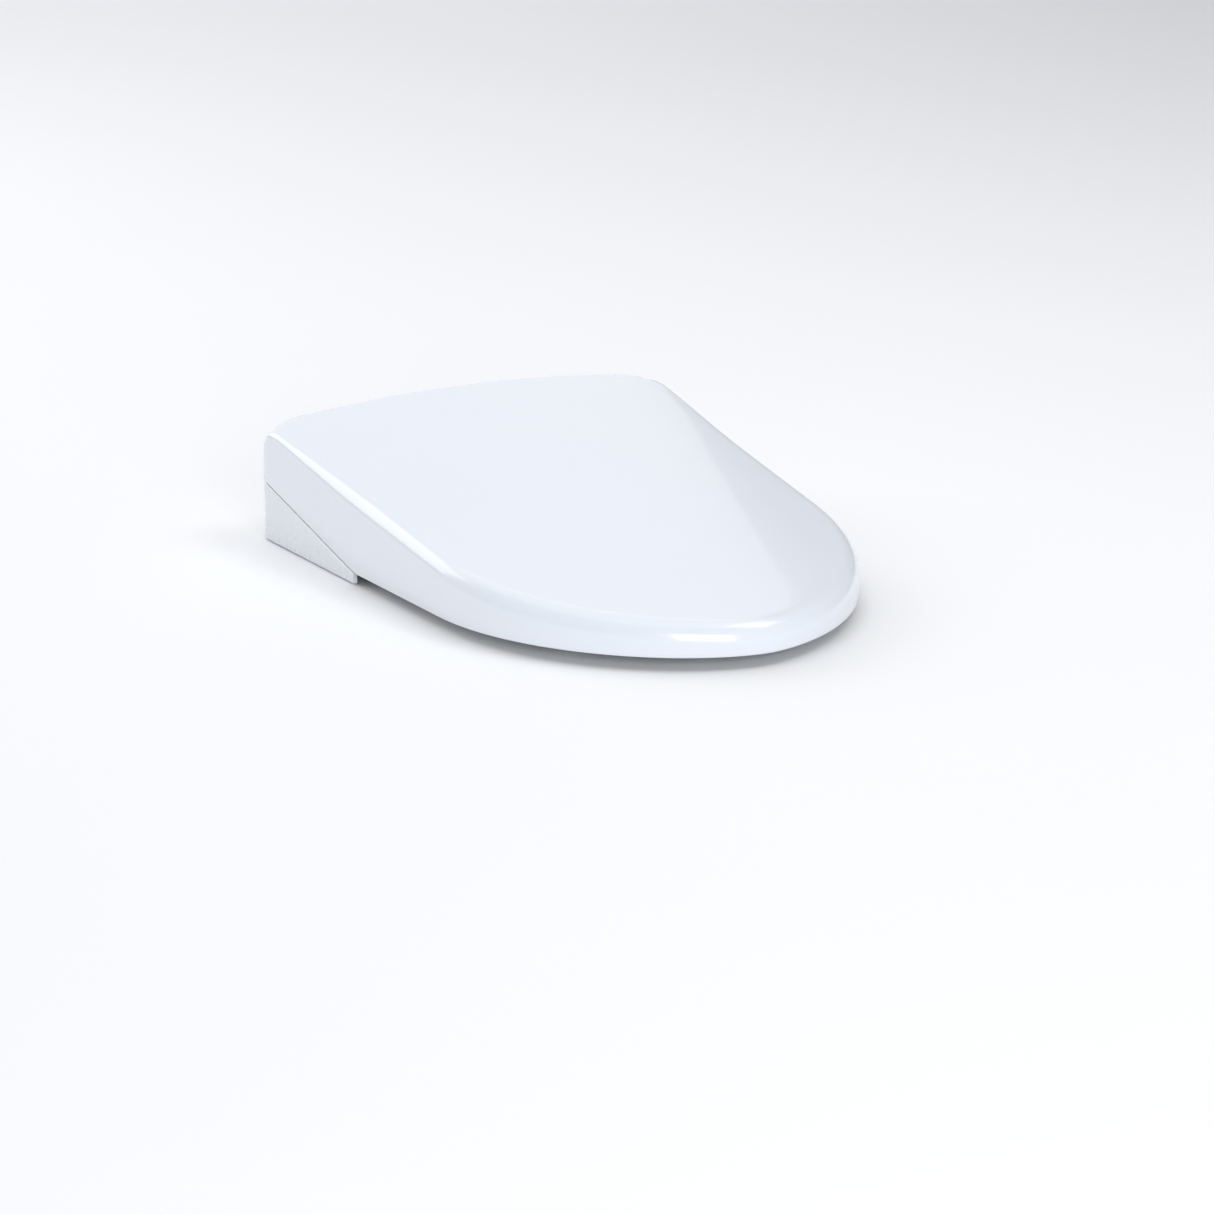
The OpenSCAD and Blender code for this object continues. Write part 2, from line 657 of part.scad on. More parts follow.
// Deodorizer: fan inside the casing, filter cartridge that pulls out of the right side
deo_x = [block_half_w - 50, block_half_w + 2];
deo_y = [cart_y[0] - 3, cart_y[1] + 3];
deo_z = [floor_z, cart_z[1] + 3];
deo_cy = (deo_y[0] + deo_y[1]) / 2;
deo_cz = (cart_z[0] + cart_z[1]) / 2;
deo_fan_r = 11;
module deodorizer_housing() {
    color("#4a5156") difference() {
        box([deo_x[0] + 16, half_w(cart_y[0]) - cover_wall - 6], deo_y, deo_z);
        box([block_half_w, half_max], [cart_y[0] - cart_gap, cart_y[1] + cart_gap],
            [cart_z[0] - cart_gap, cart_z[1] + cart_gap]);
        rod_x(deo_fan_r + 1.2, deo_x[0] + 18, block_half_w + 1, deo_cy, deo_cz);
        rod_x(3.2, deo_x[0] + 15, deo_x[0] + 19, deo_cy, deo_cz);
        for (a = [0:90:270])
            translate([0, deo_cy, deo_cz]) rotate([a + 45, 0, 0])
                rod_x(2.6, deo_x[0] + 15, deo_x[0] + 19, 7.4, 0);
    }
}
module deodorizer_fan() {
    color("#cfd4d7") {
        rod_x(1.5, deo_x[0] + 8, deo_x[0] + 28, deo_cy, deo_cz);
        difference() {
            rod_x(5, deo_x[0] + 21, deo_x[0] + 31, deo_cy, deo_cz);
            rod_x(1.5, deo_x[0] + 20, deo_x[0] + 28, deo_cy, deo_cz);
        }
        for (i = [0:6])
            translate([deo_x[0] + 26, deo_cy, deo_cz]) rotate([i * 360 / 7, 0, 0]) rotate([0, 0, 32])
                box([-4.5, 4.5], [-0.6, 0.6], [4.6, deo_fan_r - 0.8]);
    }
}
module deodorizer_motor() {
    color("#7f878c") difference() {
        rod_x(8, deo_x[0], deo_x[0] + 16, deo_cy, deo_cz);
        rod_x(1.5 + run_gap, deo_x[0] + 6, deo_x[0] + 17, deo_cy, deo_cz);
    }
}
module filter_cartridge() {
    color("#dfe2e4") {
        difference() {
            box([block_half_w + 4, half_w(cart_y[0]) - 5], [cart_y[0], cart_y[1]], [cart_z[0], cart_z[1]]);
            for (i = [0:5])
                box([block_half_w + 6, half_w(cart_y[0]) - 12], [cart_y[0] + 2.6 + i * 5, cart_y[0] + 6 + i * 5],
                    [cart_z[0] - 1, cart_z[1] + 1]);
        }
        intersection() {
            plan(0, 0, 200);
            difference() {
                box([half_w(cart_y[0]) - 5 - eps, half_max + 1], [cart_y[0], cart_y[1]], [cart_z[0], cart_z[1]]);
                rod_y(4, half_max - 1.5, cart_y[0] + 8, cart_y[1] - 8, deo_cz);
            }
        }
    }
}

// Water path
heater_x = [8 - block_half_w, -44];
heater_y = [apron_y + 14, -30];
heater_z = [floor_z, 43];
// Where the cold pipe goes into the tank and the warm pipe comes out
cold_x = heater_x[0] + 12;
cold_z = 30;
warm_x = heater_x[1] - 12;
pipe_r = 3;
module water_heater() {
    color("#d3d8db") difference() {
        union() {
            box(heater_x, heater_y, heater_z);
            rod_z(5, warm_x, heater_y[1] - 10, heater_z[1] - eps, heater_z[1] + 6);
            rod_y(5, cold_x, heater_y[1] - eps, heater_y[1] + 7, cold_z);
        }
        box([heater_x[0] + 3, heater_x[1] - 3], [heater_y[0] + 3, heater_y[1] - 3],
            [heater_z[0] + 3, heater_z[1] - 3]);
        rod_z(pipe_r, warm_x, heater_y[1] - 10, heater_z[1] - 4, heater_z[1] + 7);
        rod_y(pipe_r, cold_x, heater_y[1] - 4, heater_y[1] + 8, cold_z);
    }
}
module heating_element() {
    z = (heater_z[0] + heater_z[1]) / 2;
    color("#b9774c") for (s = [-8, 8]) {
        rod_x(3, heater_x[0] + 3, heater_x[1] - 14, -51, z + s);
        rod_x(1.2, heater_x[1] - 14 - eps, heater_x[1] - 3, -51, z + s);
    }
}
valve_y = 16;
module inlet_fitting() {
    color("#c8a878") difference() {
        union() {
            rod_y(inlet_r, inlet_x, pocket_y + case_wall, rear_y - 2, inlet_z);
            rod_y(inlet_r + 4, inlet_x, pocket_y - 8, pocket_y, inlet_z);
            rod_y(inlet_r - 1, inlet_x, pocket_y - eps, pocket_y + case_wall + eps, inlet_z);
        }
        rod_y(inlet_r - 3, inlet_x, pocket_y - 5, rear_y, inlet_z);
        rod_y(4, inlet_x, pocket_y - 9, pocket_y, inlet_z);
    }
}
module inlet_strainer() {
    color("#9aa0a4") difference() {
        rod_y(inlet_r - 3, inlet_x, pocket_y - 2, pocket_y + 16, inlet_z);
        rod_y(inlet_r - 4.2, inlet_x, pocket_y, pocket_y + 17, inlet_z);
    }
}
module solenoid_valve() {
    color("#5b6f86") {
        box([inlet_x - 14, inlet_x + 14], [valve_y - 12, pocket_y - 8], [inlet_z - 10, inlet_z + 8]);
        rod_z(9, inlet_x, valve_y, inlet_z + 8 - eps, inlet_z + 30);
    }
}
divert_x = -34;
divert_y = -13;
module diverter_valve() {
    color("#e1e4e6") {
        rod_y(10, divert_x, -24, -2, 36);
        rod_y(8, divert_x, -2 - eps, 12, 36);
        rod_z(4, divert_x, divert_y, 40, 47);
        box([divert_x - 8, divert_x + 8], [divert_y - 7, divert_y + 7], [floor_z, 30]);
    }
}
// A pipe run: straight stretches joined by balls
module pipe(pts, r) {
    for (i = [0:len(pts) - 2]) {
        d = pts[i + 1] - pts[i];
        translate(pts[i]) rotate([0, acos(d[2] / norm(d)), atan2(d[1], d[0])]) cylinder(r = r, h = norm(d));
        if (i > 0) translate(pts[i]) sphere(r = r);
    }
}
module water_pipes() {
    color("#f0f0ea") {
        pipe([[cold_x, heater_y[1] + 7, cold_z], [cold_x, valve_y - 2, cold_z],
              [inlet_x - 14, valve_y - 2, cold_z]], pipe_r);
        pipe([[warm_x, heater_y[1] - 10, heater_z[1] + 6], [warm_x, heater_y[1] - 10, heater_z[1] + 9],
              [warm_x, divert_y, heater_z[1] + 9], [divert_x, divert_y, heater_z[1] + 9],
              [divert_x, divert_y, 47]], pipe_r);
    }
}

// Electronics
board_z = 62;
module control_board() {
    color("#2f6b45") box([heater_x[0], -50], [-20, 26], [board_z, board_z + 1.6]);
    color("#30363a") {
        box([heater_x[0] + 6, heater_x[0] + 26], [-8, 12], [board_z + 1.6, board_z + 4]);
        box([-92, -78], [0, 14], [board_z + 1.6, board_z + 5]);
        box([-70, -56], [-10, 0], [board_z + 1.6, board_z + 7]);
    }
    color("#c9ced2") for (x = [heater_x[0] + 4, -56])
        rod_z(2.5, x, 22, floor_z, board_z);
}
module power_board() {
    color("#2f6b45") box([36, block_half_w - 10], [-8, 26], [board_z, board_z + 1.6]);
    color("#22282c") for (i = [0:2])
        rod_z(5, 50 + i * 13, 8, board_z + 1.6, board_z + 13);
    color("#c9ced2") for (x = [42, 88])
        rod_z(2.5, x, 22, floor_z, board_z);
}
module transformer() {
    color("#b08a3c") box([block_half_w - 44, block_half_w - 18], [2, 24], [board_z + 1.6, board_z + 15]);
}
module cord_gland() {
    color("#30363a") difference() {
        union() {
            rod_y(gland_r, gland_x, flange_y - eps, rear_y, gland_z);
            rod_y(gland_r + 3, gland_x, flange_y - 3, flange_y, gland_z);
            rod_y(gland_r - 2, gland_x, rear_y - eps, rear_y + 3, gland_z);
        }
        rod_y(cord_r, gland_x, unit_back - 4, rear_y + 4, gland_z);
    }
}
module sensor_window() {
    color("#2a2f38") deck_insert(window_x);
}
module indicator_lens() {
    color("#dfe7ee") deck_insert(lens_x);
}

// Push buttons in the right side cover
module push_button(p, r, depth) {
    rod_x(r, half_w(p[0]) - cover_wall - depth, half_w(p[0]) + 0.8, p[0], p[1]);
    rod_x(r + 1.2, half_w(p[0]) - cover_wall - depth, half_w(p[0]) - cover_wall - 0.8, p[0], p[1]);
}
module power_button() {
    color("#c3c9cd") push_button(power_at, button_r, 4);
}
module wash_button() {
    color("#c3c9cd") push_button(wash_at, button_r, 4);
}
module release_button() {
    color("#aab1b6") {
        push_button(release_at, release_r, 4);
        rod_x(3, half_w(release_at[0]) - cover_wall - 34, half_w(release_at[0]) - cover_wall - 4 + eps,
              release_at[0], release_at[1]);
    }
}

// Hinge: bushes in the casing, sleeves on the seat, pins on the lid, all on one axis
sleeve_r = pin_r + run_gap + sleeve_wall;
bush_x = [block_half_w - 10, block_half_w + 1];
seat_lug = [block_half_w + 2, block_half_w + 12];
lid_lug = [seat_lug[1] + 1.2, seat_lug[1] + 11];
lug_r = 11;
drive_x = [22, block_half_w - 16];
socket = 6;
module hinge_bushes() {
    color("#f5f1e4") both_sides() difference() {
        union() {
            rod_x(bush_r, bush_x[0], block_half_w, hinge_y, hinge_z);
            rod_x(bush_r + 0.8, block_half_w, bush_x[1], hinge_y, hinge_z);
        }
        rod_x(sleeve_r + run_gap, bush_x[0] - 1, bush_x[1] + 1, hinge_y, hinge_z);
    }
}
module drive_unit(x) {
    difference() {
        union() {
            rod_x(hump_r - case_wall - 0.6, x[0], x[1], hinge_y, hinge_z);
            rod_x(bush_r - 1.6, x[1] - eps, bush_x[0], hinge_y, hinge_z);
        }
        rod_x(sleeve_r + run_gap, x[1] - socket, bush_x[0] + 1, hinge_y, hinge_z);
        rod_x(pin_r + run_gap, x[1] - socket - 9, bush_x[0] + 1, hinge_y, hinge_z);
    }
}
module seat_drive() {
    color("#6d757a") mirror([1, 0, 0]) drive_unit(drive_x);
}
module lid_drive() {
    color("#6d757a") drive_unit(drive_x);
}
module hinge_sleeves() {
    color("#b9bfc3") both_sides() difference() {
        rod_x(sleeve_r, drive_x[1] - socket + 0.4, seat_lug[1], hinge_y, hinge_z);
        rod_x(pin_r + run_gap, drive_x[1] - socket - 1, seat_lug[1] + 1, hinge_y, hinge_z);
    }
}
module hinge_pins() {
    color("#aab0b4") both_sides()
        rod_x(pin_r, drive_x[1] - socket - 8, lid_lug[1], hinge_y, hinge_z);
}

// Seat ring
seat_inset = lid_wall + seat_gap;
seat_back_y = apron_y - 4;
seat_corner = 12;
hole_y = front_y + seat_inset + front_band + hole_len / 2;
hole_pow = 2.2;
bumper_h = lid_edge_z;
seat_rise_y = seam_tip_y - 90;
seat_lift = 3;
// Top and bottom of the ring at y
function seat_top_z(y) = seat_front_h + (seat_back_h - seat_front_h)
    * pow(max(0, (y - seat_rise_y) / (seat_back_y - seat_rise_y)), 2);
function seat_bottom_z(y) = bumper_h + max(0, line_z(y) + seat_lift - bumper_h);
function seat_outline(inset) = outline(seat_inset + inset, seat_back_y - inset, seat_corner, 0);
// The hole's edge on the ray from the hole's centre to point p
function hole_point(p, grow) =
    let (dx = p[0], dy = p[1] - hole_y,
         k = pow(pow(abs(dx) / (hole_w / 2 + grow), hole_pow) + pow(abs(dy) / (hole_len / 2 + grow), hole_pow),
                 -1 / hole_pow))
    [dx * k, hole_y + dy * k];
// A ring swept round the hole: each section is a list of [share of the way out, height above the ring's bottom
// or below its top]
function ring_point(p, sec, inset) =
    let (q = hole_point(p, inset), w = sec[0], x = q[0] + (p[0] - q[0]) * w, y = q[1] + (p[1] - q[1]) * w)
    [x, y, sec[2] == 1 ? seat_top_z(y) - sec[1] : seat_bottom_z(y) + sec[1]];
module ring(sections, inset) {
    pts = seat_outline(inset);
    n = len(pts);
    m = len(sections);
    polyhedron(points = [for (p = pts) each [for (s = sections) ring_point(p, s, inset)]],
               faces = [for (i = [0:n - 1]) each [for (j = [0:m - 1]) each
                   let (a = i * m + j, b = i * m + (j + 1) % m,
                        c = ((i + 1) % n) * m + (j + 1) % m, d = ((i + 1) % n) * m + j)
                   [[a, b, c], [a, c, d]]]]);
}
// Section of the top shell, from the inner edge over the top to the outer edge and back inside
shell_out = [[0, 2, 0], [0, 9, 1], [0.05, 5, 1], [0.16, 2.2, 1], [0.36, 0.6, 1], [0.6, 0, 1], [0.8, 0.8, 1],
             [0.92, 3, 1], [0.98, 6, 1], [1, 11, 1], [1, 2, 0]];
shell_in = [[0.95, 2, 0], [0.95, 11, 1], [0.92, 7, 1], [0.8, 3.9, 1], [0.6, 3, 1], [0.36, 3.6, 1], [0.16, 5.4, 1],
            [0.06, 9, 1], [0.05, 2, 0]];
module seat_top() {
    color("#f4f6f8") ring(concat(shell_out, shell_in), 0);
}
module seat_base() {
    color("#dde1e4") ring([[0, 0, 0], [0, 1.9, 0], [0.05, 1.9, 0], [0.95, 1.9, 0], [1, 1.9, 0], [1, 0, 0]], 0);
}
module seat_heater() {
    color("#c9a063") ring([[0.2, 5.2, 1], [0.36, 3.8, 1], [0.6, 3.15, 1], [0.78, 4.0, 1], [0.78, 4.4, 1],
                           [0.6, 3.55, 1], [0.36, 4.2, 1], [0.2, 5.6, 1]], 0);
}
// Hinge arms: wide where they meet the ring, narrow at the axis
arm_h = 21;
arm_wide_y = 4;
arm_lap = 0.6;
neck_r = lug_r - 0.8;
arm_inset = seat_inset + 1;
function hinge_at(r, a) = [hinge_y + r * cos(a), hinge_z + r * sin(a)];
function arm_line(y, up) = line_z(y) + (seat_lift + up) / cos(seam_angle);
module seat_arm() {
    difference() {
        union() {
            intersection() {
                across([[seat_back_y, arm_line(seat_back_y, 0)], [arm_wide_y, arm_line(arm_wide_y, 0)],
                        [arm_wide_y, arm_line(arm_wide_y, arm_h)], [seat_back_y, arm_line(seat_back_y, arm_h)]],
                       seat_lug[0], half_max);
                plan(arm_inset, 0, 200);
            }
            across([[arm_wide_y - 6, arm_line(arm_wide_y - 6, arm_lap)],
                    [hinge_y - 12, arm_line(hinge_y - 12, arm_lap)],
                    hinge_at(neck_r, -100), hinge_at(0, 0), hinge_at(neck_r, 115),
                    [arm_wide_y - 6, arm_line(arm_wide_y - 6, arm_h - arm_lap)]], seat_lug[0], seat_lug[1]);
            rod_x(lug_r, seat_lug[0], seat_lug[1], hinge_y, hinge_z);
        }
        rod_x(sleeve_r, seat_lug[0] - 1, seat_lug[1] + 1, hinge_y, hinge_z);
    }
}
module seat_arm_left() {
    color("#f4f6f8") mirror([1, 0, 0]) seat_arm();
}
module seat_arm_right() {
    color("#f4f6f8") seat_arm();
}
bumper_at = [[hole_w / 2 + 6, hole_y - 88], [half_w(-215) - seat_inset - 24, -215]];
module seat_bumpers() {
    color("#5a6166") both_sides() for (p = bumper_at)
        rod_z(8, p[0], p[1], 0, bumper_h);
}

// Lid shell: an outer and an inner skin, joined round the bottom edge
lid_rings = 6;
cap_rings = [0.7, 0.35];
fillet_pow = 2.2;
cut_x = seat_lug[1] + 9.5;
cut_z = hinge_z + 13;
// Share of the rear rounding at an outline point: 0 on the sides, 1 from the middle of the corner on
corner_from = corner_y - 47;
corner_to = corner_y - 12;
function rear_share(p) =
    let (t = min(1, max(0, (p[1] - corner_from) / (corner_to - corner_from)))) 1 - sqrt(1 - t * t);
// The side rounding is crisp at the rear and grows to its full size over soft_run
soft_run = 200;
function ease(t) = let (k = min(1, max(0, t))) k * k * (3 - 2 * k);
function side_fillet(p) = edge_fillet - (edge_fillet - rear_fillet) * ease(1 - (corner_y - p[1]) / soft_run);
function lid_bottom(p) = p[1] > hinge_y && abs(p[0]) < cut_x ? cut_z : seam_z(p[1]);
// A point of a skin: wall is its depth below the outside, f its angle up the rounded edge
function tall(p, wall, z_top) =
    let (share = rear_share(p)) (side_fillet(p) - wall) * (1 - share) + (z_top - seam_z(corner_y)) * share;
function skin_point(p, wall, f) =
    let (c = 1 - pow(cos(f), 2 / fillet_pow), s = 1 - pow(sin(f), 2 / fillet_pow), share = rear_share(p),
         deep = side_fillet(p) * (1 - share) + edge_fillet * share,
         kx = 1 - (wall + (deep - wall) * c) / half_max,
         back = p[1] > mid_y, run = seat_depth / 2,
         ky = 1 - (wall + ((back ? rear_round : edge_fillet) - wall) * c) / run,
         x = p[0] * kx, y = mid_y + (p[1] - mid_y) * ky,
         z_top = top_z(x, y) - wall)
    [x, y, z_top - tall(p, wall, z_top) * s];
function start_angle(p, wall) =
    let (z_top = top_z(p[0], p[1]) - wall, s = (z_top - lid_bottom(p)) / tall(p, wall, z_top))
    s >= 1 ? -1 : asin(pow(max(0, 1 - s), fillet_pow / 2));
function skin_ring(pts, wall, k) = [for (p = pts) let (f0 = start_angle(p, wall))
    k == 0 ? let (q = skin_point(p, wall, max(0, f0))) [q[0], q[1], lid_bottom(p)]
           : skin_point(p, wall, f0 < 0 ? 90 * (k - 1) / (lid_rings - 1) : f0 + (90 - f0) * k / lid_rings)];
function cap_ring(pts, wall, share) = [for (q = skin_ring(pts, wall, lid_rings))
    let (x = q[0] * share, y = mid_y + (q[1] - mid_y) * share) [x, y, top_z(x, y) - wall]];
function skin(pts, wall) = concat(
    [for (k = [0:lid_rings]) each skin_ring(pts, wall, k)],
    [for (c = cap_rings) each cap_ring(pts, wall, c)],
    [[0, mid_y, top_z(0, mid_y) - wall]]);
module lid_shell() {
    pts = lid_outline(0);
    n = len(pts);
    rings = lid_rings + 1 + len(cap_rings);
    size = n * rings + 1;
    color("#f7f9fb") polyhedron(
        points = concat(skin(pts, 0), skin(pts, lid_wall)),
        faces = concat(
            [for (k = [0:rings - 2]) each [for (i = [0:n - 1]) each
                let (j = (i + 1) % n, a = k * n + i, b = k * n + j, c = a + n, d = b + n)
                [[a, c, b], [b, c, d], [size + a, size + b, size + c], [size + b, size + d, size + c]]]],
            [for (i = [0:n - 1]) each
                let (j = (i + 1) % n, a = (rings - 1) * n + i, b = (rings - 1) * n + j, top = n * rings)
                [[a, top, b], [size + a, size + b, size + top]]],
            [for (i = [0:n - 1]) each let (j = (i + 1) % n) [[i, j, size + i], [j, size + j, size + i]]]));
}
// Brackets screwed under the lid, with the lugs that grip the pins
bracket_y = [-30, hinge_y];
function under_lid(x, y) = top_z(x, y) - lid_wall;
module lid_bracket() {
    x_out = lid_lug[1];
    difference() {
        union() {
            across([[bracket_y[0], under_lid(x_out, bracket_y[0])], [bracket_y[0], under_lid(x_out, bracket_y[0]) - 5],
                    [hinge_y - 14, under_lid(x_out, hinge_y - 14) - 8], [hinge_y - lug_r, hinge_z],
                    [hinge_y, hinge_z], [hinge_y + 8, under_lid(x_out, hinge_y + 8) - 5],
                    [hinge_y, under_lid(x_out, hinge_y)]], lid_lug[0], lid_lug[1]);
            rod_x(lug_r - 2, lid_lug[0], lid_lug[1], hinge_y, hinge_z);
        }
        rod_x(pin_r, lid_lug[0] - 1, lid_lug[1] + 1, hinge_y, hinge_z);
    }
}
module lid_bracket_left() {
    color("#dfe3e6") mirror([1, 0, 0]) lid_bracket();
}
module lid_bracket_right() {
    color("#dfe3e6") lid_bracket();
}
lid_bumper_at = [[70, front_y + 46], [half_w(-250) - seat_inset - 24, -250]];
module lid_bumpers() {
    color("#c8cdd1") both_sides() for (p = lid_bumper_at)
        rod_z(5, p[0], p[1], seat_top_z(p[1]) + 0.6, under_lid(p[0], p[1]) + 0.3);
}

base_plate();
bolt_plates();
base_latch();
lower_case();
upper_case();
deck_cover();
rear_cover();
side_cover_left();
side_cover_right();
case_screws();
rubber_pads();
nozzle_guide();
nozzle_wand();
nozzle_tip();
nozzle_cap();
nozzle_motor();
nozzle_pinion();
dryer_housing();
dryer_impeller();
dryer_motor();
dryer_heater();
dryer_flap();
deodorizer_housing();
deodorizer_fan();
deodorizer_motor();
filter_cartridge();
water_heater();
heating_element();
solenoid_valve();
diverter_valve();
inlet_fitting();
inlet_strainer();
water_pipes();
control_board();
power_board();
transformer();
cord_gland();
sensor_window();
indicator_lens();
power_button();
wash_button();
release_button();
hinge_bushes();
seat_drive();
lid_drive();
seat_top();
seat_base();
seat_heater();
seat_arm_left();
seat_arm_right();
seat_bumpers();
hinge_sleeves();
lid_shell();
lid_bracket_left();
lid_bracket_right();
hinge_pins();
lid_bumpers();
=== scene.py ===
import json
import logging
import math
from dataclasses import dataclass, field
from enum import Enum
from typing import Iterable, Optional, Sequence, Union

import bmesh
import bpy
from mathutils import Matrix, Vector


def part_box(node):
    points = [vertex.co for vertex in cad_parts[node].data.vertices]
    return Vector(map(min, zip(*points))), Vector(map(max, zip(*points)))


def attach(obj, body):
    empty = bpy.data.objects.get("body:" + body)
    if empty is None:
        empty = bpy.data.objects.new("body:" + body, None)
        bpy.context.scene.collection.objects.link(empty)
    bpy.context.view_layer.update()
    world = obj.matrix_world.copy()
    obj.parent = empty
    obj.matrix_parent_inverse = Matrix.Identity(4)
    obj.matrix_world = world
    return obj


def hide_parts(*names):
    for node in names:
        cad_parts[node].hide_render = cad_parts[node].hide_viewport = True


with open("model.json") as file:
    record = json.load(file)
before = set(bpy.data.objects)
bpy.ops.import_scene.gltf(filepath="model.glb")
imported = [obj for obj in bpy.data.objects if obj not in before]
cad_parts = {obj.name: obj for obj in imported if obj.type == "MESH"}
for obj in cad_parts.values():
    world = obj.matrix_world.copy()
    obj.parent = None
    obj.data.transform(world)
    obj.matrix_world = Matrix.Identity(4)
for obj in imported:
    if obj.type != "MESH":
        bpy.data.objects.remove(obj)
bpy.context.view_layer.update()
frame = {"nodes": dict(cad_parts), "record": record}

log = logging.getLogger("bidet_seat")
logging.basicConfig(level=logging.INFO, format="%(name)s: %(message)s")

MM = 0.001
BOX_FACES = ((3, 2, 1, 0), (4, 5, 6, 7), (0, 1, 5, 4), (1, 2, 6, 5), (2, 3, 7, 6), (3, 0, 4, 7))
DRIFT, SMEAR, SPECK = 9.0, 34.0, 620.0  # cells per metre of the shade, gloss and speck patterns
SIDE_STEPS, TAIL_STEPS, TURN_STEPS = 24, 10, 6  # outline points on the nose, the sides and a corner
Point = tuple[float, float, float]
Flat = tuple[float, float]
Obj = bpy.types.Object
Mat = bpy.types.Material
Node = bpy.types.Node
Socket = bpy.types.NodeSocket


# ---------------------------------------------------------------- finishes
class Wire:
    """A node socket that takes part in Python arithmetic."""

    def __init__(self, tree: "Shader", socket: Socket) -> None:
        """Wraps a socket.

        Args:
            tree: the shader that the socket belongs to.
            socket: the output socket.
        """
        self.tree = tree
        self.socket = socket

    def _do(self, operation: str, a: object, b: object) -> "Wire":
        """Adds one Math node.

        Args:
            operation: the Math node's operation.
            a: first value or wire.
            b: second value or wire.

        Returns:
            The result as a wire.
        """
        return self.tree.node("ShaderNodeMath", {"operation": operation}, {0: a, 1: b})["Value"]

    def __add__(self, other: object) -> "Wire":
        """Sum."""
        return self._do("ADD", self, other)

    def __sub__(self, other: object) -> "Wire":
        """Difference."""
        return self._do("SUBTRACT", self, other)

    def __rsub__(self, other: object) -> "Wire":
        """Difference from a value."""
        return self._do("SUBTRACT", other, self)

    def __mul__(self, other: object) -> "Wire":
        """Product."""
        return self._do("MULTIPLY", self, other)

    def above(self, edge: float) -> "Wire":
        """One where the value is above an edge, zero elsewhere."""
        return self._do("GREATER_THAN", self, edge)

    __radd__ = __add__
    __rmul__ = __mul__


class Outputs:
    """The outputs of a node, by name, as wires."""

    def __init__(self, tree: "Shader", node: Node) -> None:
        """Keeps the node."""
        self.tree = tree
        self.made = node

    def __getitem__(self, name: Union[str, int]) -> Wire:
        """The named output."""
        return Wire(self.tree, self.made.outputs[name])


class Shader:
    """A material's node tree under construction."""

    def __init__(self, name: str) -> None:
        """Starts an empty material.

        Args:
            name: the material's name.
        """
        self.material = bpy.data.materials.new(name)
        self.material.use_nodes = True
        self.tree = self.material.node_tree
        self.tree.nodes.clear()
        self.place = self.node("ShaderNodeTexCoord", {}, {})["Object"]

    def node(self, kind: str, settings: dict, sockets: dict) -> Outputs:
        """Adds a node.

        Args:
            kind: the node's type.
            settings: its settings, set first.
            sockets: values or wires for its inputs, by name or number.

        Returns:
            The node's outputs.
        """
        made = self.tree.nodes.new(kind)
        for key, value in settings.items():
            setattr(made, key, value)
        for key, value in sockets.items():
            if isinstance(value, Wire):
                self.tree.links.new(value.socket, made.inputs[key])
            else:
                made.inputs[key].default_value = value
        return Outputs(self, made)

    def noise(self, scale: float, detail: float = 3.0, rough: float = 0.5) -> Wire:
        """A noise pattern in the object's own coordinates, in metres.

        Args:
            scale: cells per metre.
            detail: octaves.
            rough: weight of the finer octaves.

        Returns:
            The pattern, 0 to 1.
        """
        sockets = {"Vector": self.place, "Scale": scale, "Detail": detail, "Roughness": rough}
        return self.node("ShaderNodeTexNoise", {}, sockets)["Fac"]

    def mix(self, share: Wire, a: Sequence[float], b: Sequence[float]) -> Wire:
        """A colour between two.

        Args:
            share: how much of the second.
            a: first colour.
            b: second colour.

        Returns:
            The mixed colour.
        """
        sockets = {0: share, 6: (*a, 1.0), 7: (*b, 1.0)}
        return Wire(self, self.node("ShaderNodeMix", {"data_type": "RGBA"}, sockets).made.outputs[2])

    def bump(self, height: Wire, strength: float, depth: float) -> Wire:
        """A bumped normal.

        Args:
            height: the pattern, 0 to 1.
            strength: the bump's strength.
            depth: the pattern's height in metres.

        Returns:
            The normal.
        """
        sockets = {"Height": height, "Strength": strength, "Distance": depth}
        return self.node("ShaderNodeBump", {}, sockets)["Normal"]

    def close(self, sockets: dict) -> Mat:
        """Adds the surface shader and the output.

        Args:
            sockets: the surface shader's values or wires.

        Returns:
            The finished material.
        """
        surface = self.node("ShaderNodeBsdfPrincipled", {}, sockets)["BSDF"]
        self.node("ShaderNodeOutputMaterial", {}, {"Surface": surface})
        return self.material


@dataclass(frozen=True)
class Moulded:
    """Injection-moulded plastic or rubber: shade drift, gloss drift and a skin texture."""

    name: str
    colour: tuple[float, float, float]
    shade: tuple[float, float, float]
    rough: float
    rough_span: float
    grain: float
    grain_depth: float
    coat: float = 0.0
    sheen: float = 0.0
    wave_depth: float = 0.0

    def build(self) -> Mat:
        """The finish as a material."""
        sh = Shader(self.name)
        drift = sh.noise(DRIFT, 4.0, 0.55)
        speck = sh.noise(SPECK, 2.0, 0.6)
        smear = sh.noise(SMEAR, 5.0, 0.62)
        colour = sh.mix(drift * 0.7 + speck * 0.3, self.colour, self.shade)
        span = self.rough_span
        rough = smear * span + speck * (span * 0.3) + (self.rough - 0.6 * span)
        normal = sh.bump(sh.noise(self.grain, 3.0, 0.55), 0.35, self.grain_depth)
        if self.wave_depth:
            height = sh.noise(7.0, 1.0, 0.4)
            sockets = {"Height": height, "Strength": 0.5, "Distance": self.wave_depth, "Normal": normal}
            normal = sh.node("ShaderNodeBump", {}, sockets)["Normal"]
        return sh.close({
            "Base Color": colour, "Roughness": rough, "Normal": normal,
            "IOR": 1.5, "Coat Weight": self.coat, "Coat Roughness": 0.06, "Sheen Weight": self.sheen,
        })


